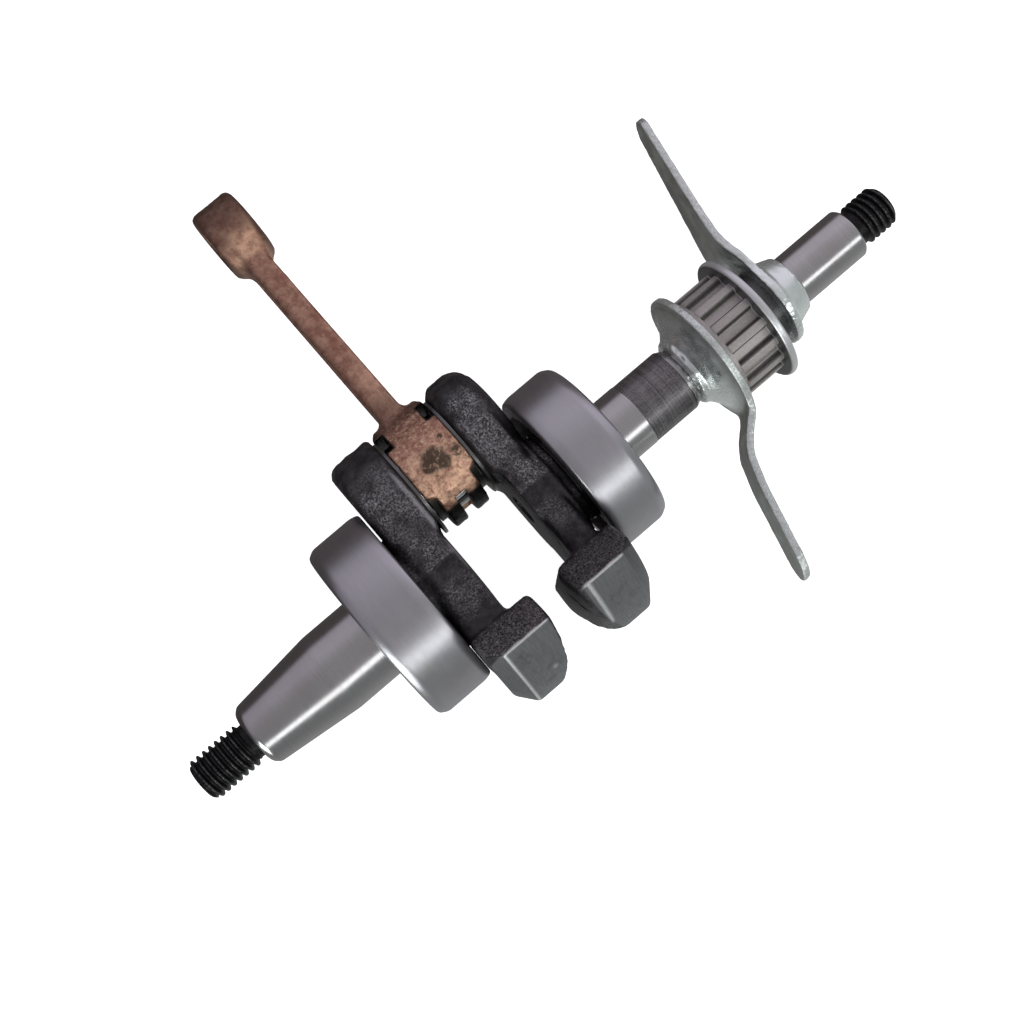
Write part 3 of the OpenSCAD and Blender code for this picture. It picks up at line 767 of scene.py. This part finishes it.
def turned_band():
    """Helical lathe lines along the dark band, cut into the surface."""
    step, line_pitch, line_depth = 0.05, 0.31, 0.02
    x = np.arange(*BAND, step)[:, None]
    turn = full_turn(SEGMENTS)
    radius = OUTPUT_SHAFT_R - 0.09 + line_depth * np.sin(2 * math.pi * x / line_pitch - turn)
    return build("turned_band", skin(around(x, radius, turn)), CRANK, TURNED, "crankshaft")


def output_shaft():
    """The pulley's seat and the plain end, behind the dark band."""
    chamfer = 0.55
    return shaft("output_shaft", [
        (0.5, BAND[1]), (OUTPUT_SHAFT_R - 0.05, BAND[1]), (SEAT_R + 0.35, SEAT_START),
        (SEAT_R, SEAT_START + 0.1), (SEAT_R, SEAT_END), (END_R, SEAT_END),
        (END_R, OUTPUT_END - chamfer), (END_R - chamfer, OUTPUT_END), (0.5, OUTPUT_END)], cut=0.2)


def thread(name, start, tip, way):
    """A cut helical thread from its neck to its chamfered tip, along way times x."""
    step, depth = 0.055, 0.72
    neck_l, run_out, chamfer = 1.3, 0.7, 0.8
    length = tip - start
    along = np.arange(0, length, step)[:, None]
    turn = full_turn(96)
    phase = (along / PITCH - way * turn / (2 * math.pi)) % 1
    groove = ease(np.abs(2 * phase - 1), 0.1, 0.8)
    past_neck = np.clip((along - neck_l) / run_out, 0, 1)
    tipping = np.clip((along - length + chamfer) / chamfer, 0, 1)
    crest = (1 - groove) * past_neck
    radius = THREAD_R - depth + depth * crest
    radius = np.minimum(radius, THREAD_R - tipping * (depth + 0.1))
    rings = around(way * (start + along), radius, turn)
    return build(name, skin(rings), CRANK, OXIDE, "crankshaft",
                 masks={"crest": with_caps(crest)})


# ---- connecting rod ----

BIG_R = 10.0
BIG_HALF_W = 5.1
RACE_R = 8.0
SMALL_R = 6.7
SMALL_HALF_W = 4.15
SMALL_BORE_R = 4.5
SHANK_HALF = 2.2
SHANK_ROOT_HALF = 4.7
STAINS = ((0.2, -1.0, 2.3), (1.2, -2.2, 1.4), (-1.3, -1.4, 1.4), (3.9, -2.2, 1.0), (3.3, 1.4, 0.5))


def face_half_width(y):
    """Half width of the big end, cut back towards its bottom."""
    return BIG_HALF_W - 1.5 * ease(-y, 4.8, 5.9)


def rod_shape(x, y, z):
    """The forging before its bores and slots are cut."""
    barrel = np.hypot(y, z) - BIG_R
    big = smooth_max(barrel, np.abs(x) - face_half_width(y), 0.5)
    small = extruded(np.hypot(y - ROD_LENGTH, z) - SMALL_R, x, -SMALL_HALF_W, SMALL_HALF_W, 1.3)
    half_z = SHANK_ROOT_HALF - (y - BIG_R) / (ROD_LENGTH - BIG_R - SMALL_R)
    across = np.maximum(-y + BIG_R - 3, y - ROD_LENGTH + SMALL_R - 2)
    flat = np.maximum(np.abs(z) - half_z, across)
    shank = extruded(flat, x, -SHANK_HALF, SHANK_HALF, 0.8)
    hollow_end = np.maximum(-y + BIG_R + 4, y - ROD_LENGTH + SMALL_R + 3.5)
    hollow_side = np.maximum(np.abs(z) - half_z + 1.6, hollow_end)
    hollow = smooth_max(hollow_side, SHANK_HALF - 1.1 - np.abs(x), 0.8)
    shank = smooth_max(shank, -hollow, 0.5)
    shoulder = extruded(np.hypot(y, z * 1.15) - BIG_R - 1.2, x, -4.9, 4.9, 1.0)
    shoulder = np.maximum(shoulder, np.maximum(3 - y, np.abs(z) - 7))
    body = smooth_min(big, shoulder, 1.0)
    body = smooth_min(body, shank, 1.7)
    return smooth_min(body, small, 2.6)


def rod_cuts(x, y, z):
    """Bores, oil slots in the thrust faces and the slot through the bottom."""
    race = np.hypot(y, z) - RACE_R - 0.35 * ease(np.abs(x), BIG_HALF_W - 0.5, BIG_HALF_W)
    bore = np.hypot(y - ROD_LENGTH, z) - SMALL_BORE_R
    bore = bore - 0.4 * ease(np.abs(x), SMALL_HALF_W - 0.5, SMALL_HALF_W)
    slot_depth, slot_y, slot_half_w = 1.5, 6.9, 1.7
    slots = np.maximum(BIG_HALF_W - slot_depth - np.abs(x), np.abs(y - slot_y) - slot_half_w)
    bottom_half_w, half_angle = 1.05, math.radians(41)
    wedge = y * math.sin(half_angle) + np.abs(z) * math.cos(half_angle)
    bottom = np.maximum(np.abs(x) - bottom_half_w, wedge)
    return np.minimum(np.minimum(race, bore), np.minimum(slots, bottom))


def whole_rod(x, y, z):
    return smooth_max(rod_shape(x, y, z), -rod_cuts(x, y, z), 0.25)


def rod_finish(verts, outside):
    """Masks for the rod's copper. outside is 1 away from the cuts."""
    x, y, z = verts.T
    width = np.abs(x)
    past_eye = y - ROD_LENGTH
    stain = np.zeros(len(verts))
    for at_x, at_y, r in STAINS:
        stain = np.maximum(stain, 1 - ease(np.hypot(x - at_x, y - at_y), r * 0.6, r * 1.2))
    # Darkening: the big end's black bottom is oil and painted shade; the slots, shoulders, shank
    # foot, shank's left side and the eye's top and sides are painted shade.
    bottom = ease(-y, 7.7, 8.4) * (y > -BIG_R - 1)
    slots = 0.95 * (1 - outside) * (width > 3.0) * (y < 12)
    shoulders = 0.8 * ease(width, 2.5, 4.8) * ease(y, 3.5, 7) * (1 - ease(y, 12, 14))
    shank_foot = 0.45 * ease(y, 5, 9) * (1 - ease(y, 12, 18))
    shank_side = 0.4 * (1 - ease(x, -2.2, -0.4)) * ease(y, 10, 14)
    eye_top = 0.6 * ease(past_eye, -6, 2)
    eye_sides = 0.6 * ease(width, 2.6, 3.8) * ease(past_eye, -8, -7)
    oil = np.max([bottom, slots, shoulders, shank_foot, shank_side, eye_top, eye_sides], 0)
    # Painted highlight low on the barrel, under the eye and on the lower shank.
    painted_highlight = ease(-y, -5, 3) * (y > -BIG_R - 1) * (0.75 + 0.3 * wobble(verts, 3.0, 13))
    below_eye = ease(-past_eye, 1.5, 4) * ease(past_eye, -8, -6)
    painted_highlight += 0.6 * below_eye * (1 - ease(width, 1.5, 3.8))
    painted_highlight += 0.45 * ease(y, 9, 12) * (1 - ease(y, 15, 25)) * ease(x, -2, 1.5)
    return {"stain": stain * (z > 0), "oil": np.clip(oil, 0, 1), "painted_highlight": np.clip(painted_highlight, 0, 1),
            "rough_skin": 1 - 0.75 * ease(y, 8, 12)}


def connecting_rod():
    margin = 0.6
    low = (-BIG_HALF_W - margin, -BIG_R - margin, -BIG_R - margin)
    high = (BIG_HALF_W + margin, ROD_LENGTH + SMALL_R + margin, BIG_R + margin)
    verts, quads = carve(whole_rod, low, high, step=0.2)
    ways = slopes(whole_rod, verts)
    outside = ease(rod_cuts(*verts.T), 0.15, 0.5)
    masks = rod_finish(verts, outside)
    lumps = 0.04 * wobble(verts, 4.0, 11) + 0.03 * wobble(verts, 1.2, 12)
    off_faces = 1 - ease(np.abs(ways[:, 0]), 0.9, 0.98)
    verts = verts + ways * (lumps * outside * off_faces)[:, None]
    return build("forged_rod", (verts, quads.tolist()), ROD, COPPER, "connecting_rod",
                 ("connecting_rod",), masks, sharp_degrees=60)


# ---- ball bearings ----

BALL_R = 2.9765


def bearing_ring(name, r_low, r_high, width, pitch_r, inboard, place, body, node):
    """A race ring with chamfered corners and a curved ball track."""
    groove_r = BALL_R * 1.03
    outer = r_low > pitch_r
    edge_r, far_r = (r_low, r_high) if outer else (r_high, r_low)
    sign = 1 if outer else -1
    half_track = math.sqrt(groove_r ** 2 - (edge_r - pitch_r) ** 2)
    limit = math.atan2(half_track, abs(edge_r - pitch_r))
    track = [
        (pitch_r + sign * groove_r * math.cos(a), groove_r * math.sin(a))
        for a in np.linspace(-limit, limit, 13)]
    half = width / 2
    along = 1.5 if outer else 0.3
    drops = {inboard: 0.4, -inboard: 0.85} if outer else {1: 0.3, -1: 0.3}
    corners = [(edge_r, half), (far_r - sign * drops[1], half), (far_r, half - along),
               (far_r, along - half), (far_r - sign * drops[-1], -half), (edge_r, -half)]
    mesh = skin(turned(softened(corners, 0.6) + track), looped=True)
    material = BEARING if outer else INNER_RING
    return build(name, mesh, place, material, body, (node,))


def ribbon_rings(side, count, pitch_r, thickness):
    """Rings of one pressed cage half, which bulges round each ball."""
    steps = count * 32
    pocket_r = BALL_R + 0.12 + thickness / 2
    flat = thickness / 2 + 0.02
    turn = full_turn(steps)
    spacing = 2 * math.pi / count
    arc = pitch_r * ((turn + spacing / 2) % spacing - spacing / 2)
    bulge = np.sqrt(np.maximum(pocket_r ** 2 - arc ** 2, 0))
    height = smooth_max(bulge, np.full(steps, flat), 0.5)
    slope = np.gradient(height, pitch_r * (turn[1] - turn[0]))
    lean = np.sqrt(1 + slope ** 2)
    half_w = 1.05
    edges = []
    for dr, way in ((-half_w, -1), (-half_w, 1), (half_w, 1), (half_w, -1)):
        shift = way * thickness / 2 / lean
        edges.append(around(side * (height + shift), pitch_r + dr, turn - shift * slope / pitch_r))
    return np.stack(edges, 1)


def rivet_rings(reach, pitch_r, angle):
    """Rings of a rivet with domed heads, through both cage halves."""
    head_r, head_h = 0.75, 0.35
    half = [(0.1, reach + head_h), (0.45, reach + head_h * 0.85), (head_r, reach)]
    profile = [(r, -x) for r, x in half] + half[::-1]
    rings = np.array(turned(profile, 16))
    y, z = rings[..., 1] + pitch_r, rings[..., 2].copy()
    rings[..., 1] = y * math.cos(angle) - z * math.sin(angle)
    rings[..., 2] = y * math.sin(angle) + z * math.cos(angle)
    return rings


def joined(parts):
    """One mesh of several separate closed shells."""
    verts, faces = [], []
    for part_verts, part_faces in parts:
        shift = sum(len(v) for v in verts)
        verts.append(part_verts)
        faces += [tuple(i + shift for i in face) for face in part_faces]
    return np.vstack(verts), faces


def ribbon_cage(name, count, pitch_r, place, body, nodes):
    thickness = 0.5
    parts = [skin(ribbon_rings(side, count, pitch_r, thickness), looped=True) for side in (-1, 1)]
    spacing = 2 * math.pi / count
    reach = thickness + 0.02
    parts += [skin(rivet_rings(reach, pitch_r, (i + 0.5) * spacing)) for i in range(count)]
    return build(name, joined(parts), place, PRESSED, body, nodes)


def ball_bearing(end, bore_d, ball_count):
    """Rings, ribbon cage and ball finish of one main bearing."""
    outer_node, inner_node = f"{end}_bearing_outer_ring", f"{end}_bearing_inner_ring"
    width, outer_d = size(outer_node)[0], size(outer_node)[1]
    pitch_r, half_gap = (bore_d + outer_d) / 4, 2
    place = placement(centre(outer_node))
    inboard = 1 if centre(outer_node)[0] < THROW_X else -1
    bearing_ring(f"{end}_outer_race", pitch_r + half_gap, outer_d / 2, width, pitch_r, inboard,
                 place, f"{end}_bearing_outer", outer_node)
    bearing_ring(f"{end}_inner_race", bore_d / 2, pitch_r - half_gap, width, pitch_r, inboard,
                 place, "crankshaft", inner_node)
    cage = [f"{end}_bearing_cage_inboard", f"{end}_bearing_cage_outboard", f"{end}_bearing_rivets"]
    ribbon_cage(f"{end}_ribbon_cage", ball_count, pitch_r, place, f"{end}_bearing_cage", cage)
    finish_nodes([f"{end}_bearing_ball_{i}" for i in range(1, ball_count + 1)], POLISHED)


def finish_nodes(names, material):
    """Gives CAD nodes that stay as they are a better material."""
    for name in names:
        node = frame["nodes"][name]
        for slot in node.material_slots:
            slot.material = material


# ---- pulley, flange and slingers ----

PULLEY_FACE = 47.6
TEETH_START = 48.5
TEETH_END = 56.1
PLAIN_START = 47.0
PULLEY_R = 10.1
TOOTH_DEPTH = 1.2
TOOTH_COUNT = 15
FLANGE_R = 12.1
FLANGE_T = 1.4
HUB_R = 6.6
DISC_2_X = 60.8


def timing_pulley():
    """Belt teeth with rounded lands, beside a plain ring, on a plain hub."""
    points_per_tooth, land_half, flank_w = 32, 0.32, 0.26
    turn = full_turn(TOOTH_COUNT * points_per_tooth)
    phase = np.abs(2 * ((turn * TOOTH_COUNT / (2 * math.pi)) % 1) - 1)
    land = 1 - np.clip((phase - land_half) / flank_w, 0, 1)
    # Each ring has its place, how far it is below the full radius, and 1 if teeth are cut in it.
    plan = [(PLAIN_START, 0.4, 0), (TEETH_START, 0.25, 0), (TEETH_START, 0.1, 1)]
    plan += [(x, 0.0, 1) for x in np.linspace(TEETH_START + 0.3, TEETH_END - 0.3, 9)]
    plan += [(TEETH_END, 0.05, 1)]
    flanks, tips, rings = [], [], []
    for x, drop, cut in plan:
        radius = PULLEY_R - TOOTH_DEPTH * (1 - land) * cut - drop * (land if cut else 1)
        rings.append(around(x, radius, turn))
        # The flank mask carries painted shade on the tooth flanks, the tip mask a painted highlight
        # at the teeth's ends.
        flanks.append(4 * land * (1 - land) * cut)
        tips.append(np.full(len(turn), float(x > TEETH_END - 0.1)))
    masks = {"flank": with_caps(flanks), "tip": with_caps(tips)}
    build("timing_pulley_teeth", skin(rings), CRANK, SINTERED, "crankshaft",
          ("timing_pulley",), masks)
    # The hub takes the dark flange finish as painted shade behind the flange.
    hub = [(0.5, TEETH_END - 1), (HUB_R, TEETH_END - 1), (HUB_R, DISC_2_X), (0.5, DISC_2_X)]
    build("timing_pulley_hub", skin(turned(softened(hub, 0.3))), CRANK, DARK_SHEET, "crankshaft",
          ("timing_pulley",))


def pulley_flange():
    start, end = TEETH_END, TEETH_END + FLANGE_T
    loop = softened([(HUB_R, start), (FLANGE_R - 0.4, start), (FLANGE_R, start + 0.4),
                     (FLANGE_R, end - 0.25), (FLANGE_R - 0.25, end), (HUB_R, end)], 0.3, True)
    return build("pressed_flange", skin(turned(loop), looped=True), CRANK, DARK_SHEET,
                 "crankshaft", ("pulley_flange",))


SHEET_T = 1.35
INNER_DISC_R = 12.5
OUTER_DISC_R = 8.4
INNER_REACH = 39.6
OUTER_REACH = 38.6


def arm_face(y, z, reach, half_widths, tip_r):
    """Distance to an arm's face outline, from the crank axis to its rounded tip."""
    root, mid = half_widths
    strip = polygon_distance(y, z, mirrored([
        (0, root), (9, root), (19, mid), (reach - tip_r, tip_r)]))
    tip = np.hypot(y - reach + tip_r, z) - tip_r
    return smooth_min(strip, tip, 0.5)


def inner_sheet_line():
    """Points (y, x) of the flywheel-side arm's middle, away from the shaft."""
    disc_x = PULLEY_FACE - 0.4 - SHEET_T / 2
    bends = [(-2 * INNER_DISC_R, disc_x), (12.1, disc_x), (15.4, disc_x - 3.7),
             (17.8, disc_x - 5.6), (23.4, disc_x - 7.6), (INNER_REACH + 3, disc_x - 12.5)]
    return softened(bends, 1.7, steps=3)


def outer_sheet_line():
    """Points (y, x) of the output-side arm's middle, away from the shaft."""
    disc_x = DISC_2_X + SHEET_T / 2
    bends = [(-2 * OUTER_DISC_R, disc_x), (7.0, disc_x), (11.8, disc_x - 0.85),
             (15, disc_x - 0.45), (OUTER_REACH + 3, disc_x + 5.3)]
    return softened(bends, 2.6, steps=3)


def slinger_face(y, z, y_way, outline, disc_r):
    """Distance to the flat outline of a slinger's disc and arm."""
    return smooth_min(outline(y * y_way, z), np.hypot(y, z) - disc_r, 1.5)


def slinger_shape(y_way, line, outline, disc_r, collar):
    """Distance function of a pressed slinger: disc, arm, and drawn collar."""

    def shape(x, y, z):
        radius = np.hypot(y, z)
        face = slinger_face(y, z, y_way, outline, disc_r)
        sheet = line_distance(y * y_way, x, line) - SHEET_T / 2
        plate = smooth_max(sheet, face, 0.35)
        draw = polygon_distance(radius, x, collar)
        whole = smooth_min(plate, draw, 1.1)
        return np.maximum(whole, SEAT_R - radius)

    return shape


def slinger(name, y_way, line, outline, disc_r, collar, limits, torn_x, node):
    """A carved slinger with sheared edges. torn_x is its collar's torn end."""
    shape = slinger_shape(y_way, line, outline, disc_r, collar)
    verts, quads = carve(shape, *limits, step=0.17)
    ways = slopes(shape, verts)
    x, y, z = verts.T
    radius = np.hypot(y, z)
    edge = ease(slinger_face(y, z, y_way, outline, disc_r), -0.32, -0.12)
    torn = 1 - ease(np.abs(x - torn_x), 0.2, 1.0)
    lumps = 0.02 * wobble(verts, 2.2, 21) + 0.03 * wobble(verts, 0.8, 22) * edge
    lumps += 0.07 * torn * wobble(verts, 1.4, 23) * (radius < SEAT_R + 2)
    verts = verts + ways * (lumps * (radius > SEAT_R + 0.15))[:, None]
    # The second mask is a painted highlight on the collar, fading out across the disc.
    masks = {"edge": np.clip(edge + 0.45 * torn, 0, 1), "drawn": 1 - ease(radius, 8.8, 12.0)}
    return build(name, (verts, quads.tolist()), CRANK, ZINC, "crankshaft",
                 (node,), masks, sharp_degrees=50)


def flywheel_side_slinger():
    start = 42.1
    collar = [(SEAT_R - 1, start), (6.2, start), (6.7, 43.0), (8.0, 44.1), (9.6, 45.2),
              (10.8, 45.9), (10.8, 47.0), (SEAT_R - 1, PULLEY_FACE)]

    def outline(y, z):
        return arm_face(y, z, INNER_REACH, half_widths=(5.6, 4.1), tip_r=3.9)

    limits = ((33.6, -INNER_REACH - 0.7, -INNER_DISC_R - 0.7), (48.4, 13.3, INNER_DISC_R + 0.7))
    return slinger("flywheel_side_oil_slinger", -1, inner_sheet_line(), outline, INNER_DISC_R,
                   collar, limits, start, "slinger_flywheel_side")


def output_side_slinger():
    end = 66.3
    collar = [(SEAT_R - 1, DISC_2_X), (8.0, DISC_2_X + 0.2), (7.6, 62.1), (6.7, 63.0),
              (6.1, 64.6), (5.5, end), (SEAT_R - 1, end)]

    def outline(y, z):
        return arm_face(y, z, OUTER_REACH, half_widths=(7.2, 5.1), tip_r=3.0)

    limits = ((58.2, -9.2, -9.2), (67.4, OUTER_REACH + 0.7, 9.2))
    return slinger("output_side_oil_slinger", 1, outer_sheet_line(), outline, OUTER_DISC_R,
                   collar, limits, end, "slinger_output_side")


# ---- the assembly ----

forging("flywheel_web", side=-1, arm_outer=WEB_OUTER, arm_edges=(1.0, 2.5), fan_edge=1.1,
        boss_r=9.5, bosses=[], cuts=[], node="flywheel_crank_half")
forging("output_web", side=1, arm_outer=OUTPUT_ARM_OUTER, arm_edges=(2.2, 1.7), fan_edge=2.3,
        boss_r=8.8, bosses=[pin_boss], cuts=[oil_hole, torn_recess, file_marks],
        node="output_crank_half")
flywheel_shaft()
output_journal()
turned_band()
output_shaft()
thread("flywheel_thread", TAPER_END - 0.3, FLYWHEEL_TIP, -1)
thread("output_thread", OUTPUT_END - 0.3, OUTPUT_TIP, 1)
connecting_rod()
ball_bearing("flywheel", bore_d=15, ball_count=8)
ball_bearing("output", bore_d=12, ball_count=7)
timing_pulley()
pulley_flange()
flywheel_side_slinger()
output_side_slinger()
finish_nodes(["crankpin"], SHAFT)
finish_nodes([n for n in frame["nodes"] if n.startswith("big_end_needle_")], ROLLER)
finish_nodes(["big_end_washer_flywheel", "big_end_washer_output"], WASHER)
finish_nodes(["big_end_cage"], PRESSED)


# ---- bench, light and camera, with lengths in metres ----


def bench():
    """Plain white bench top under the part."""
    half = 4.0
    height = cad_box[0].z
    corners = [(-half, -half, height), (half, -half, height), (half, half, height),
               (-half, half, height)]
    mesh = bpy.data.meshes.new("bench")
    mesh.from_pydata(corners, [], [(0, 1, 2, 3)])
    s = Surface("bench_white", 0.0)
    shade = s.blend(s.noise(0.004, 2.0), (0.93, 0.93, 0.93), (0.96, 0.96, 0.96))
    s.shader.inputs["Emission Color"].default_value = (1, 1, 1, 1)
    s.shader.inputs["Emission Strength"].default_value = 0.93
    mesh.materials.append(s.finish(shade, 0.85, []))
    top = bpy.data.objects.new("bench", mesh)
    bpy.context.scene.collection.objects.link(top)
    top.visible_glossy = False


def soft_light(name, direction, distance, width, height, power, colour):
    """A rectangular lamp that looks at the part from a direction."""
    middle = (cad_box[0] + cad_box[1]) / 2
    lamp = bpy.data.lights.new(name, "AREA")
    lamp.shape = "RECTANGLE"
    lamp.size, lamp.size_y = width, height
    lamp.energy = power
    lamp.color = colour
    holder = bpy.data.objects.new(name, lamp)
    way = Vector(direction).normalized()
    holder.location = middle + way * distance
    holder.rotation_euler = way.to_track_quat("Z", "Y").to_euler()
    bpy.context.scene.collection.objects.link(holder)


def sky_band(tree, height, stops):
    """Colour by height above the horizon, from -1 straight down to 1 straight up."""
    ramp = tree.nodes.new("ShaderNodeValToRGB")
    tree.links.new(height, ramp.inputs[0])
    while len(ramp.color_ramp.elements) < len(stops):
        ramp.color_ramp.elements.new(0.5)
    for stop, (at, colour) in zip(ramp.color_ramp.elements, stops):
        stop.position = (at + 1) / 2
        stop.color = (*colour, 1)
    return ramp.outputs[0]


def mapped(tree, value, low, high, to_low=0.0, to_high=1.0):
    """World value from low to high moved onto another range."""
    made = tree.nodes.new("ShaderNodeMapRange")
    for socket, number in zip(made.inputs[1:5], (low, high, to_low, to_high)):
        socket.default_value = number
    tree.links.new(value, made.inputs["Value"])
    return made.outputs[0]


def studio():
    """Room light that changes with height, side and length, and two soft lamps."""
    world = bpy.data.worlds.new("studio")
    bpy.context.scene.world = world
    world.use_nodes = True
    tree = world.node_tree
    place = tree.nodes.new("ShaderNodeTexCoord").outputs["Generated"]
    parts = tree.nodes.new("ShaderNodeSeparateXYZ")
    tree.links.new(place, parts.inputs[0])
    along, side, up = parts.outputs
    height = mapped(tree, up, -1, 1)
    rod_side = sky_band(tree, height, [
        (-0.10, (0.10, 0.09, 0.09)), (0.10, (0.56, 0.53, 0.60)), (0.65, (0.60, 0.57, 0.64)),
        (0.95, (0.42, 0.41, 0.43))])
    near_side = sky_band(tree, height, [
        (-0.60, (0.42, 0.43, 0.43)), (0.0, (0.30, 0.31, 0.31)), (0.40, (0.26, 0.28, 0.28)),
        (0.95, (0.42, 0.41, 0.43))])
    mix = tree.nodes.new("ShaderNodeMix")
    mix.data_type = "RGBA"
    tree.links.new(mapped(tree, side, -0.2, 0.2), mix.inputs["Factor"])
    tree.links.new(near_side, mix.inputs[6])
    tree.links.new(rod_side, mix.inputs[7])
    back = tree.nodes["Background"]
    tree.links.new(mix.outputs[2], back.inputs["Color"])
    tree.links.new(mapped(tree, along, -1, 1, 0.55, 1.35), back.inputs["Strength"])
    soft_light("key", (0.0, -0.74, 0.67), distance=0.8, width=1.1, height=0.2, power=1.6,
               colour=(0.97, 1.0, 1.0))
    soft_light("side", (-0.85, -0.52, 0.14), distance=0.6, width=0.35, height=0.35, power=1.5,
               colour=(0.96, 1.0, 1.0))


def camera():
    """Looks down at the part, tilted towards the flywheel end and rolled."""
    aim = Vector((25.4, 0.9, 0)) * MM
    distance = 250.1 * MM
    tilt, roll = math.radians(4.64), math.radians(40.39)
    data = bpy.data.cameras.new("camera")
    data.sensor_width = 36
    data.lens = 52.49
    data.clip_start, data.clip_end = 0.01, 10
    holder = bpy.data.objects.new("camera", data)
    forward = Vector((math.sin(tilt), 0, -math.cos(tilt)))
    across = Vector((math.cos(tilt), 0, math.sin(tilt)))
    right = math.cos(roll) * across - math.sin(roll) * Vector((0, 1, 0))
    up = right.cross(forward)
    turn = Matrix((right, up, -forward)).transposed().to_4x4()
    holder.matrix_world = Matrix.Translation(aim - forward * distance) @ turn
    bpy.context.scene.collection.objects.link(holder)
    bpy.context.scene.camera = holder


bench()
studio()
camera()
bpy.context.scene.view_settings.view_transform = "Standard"
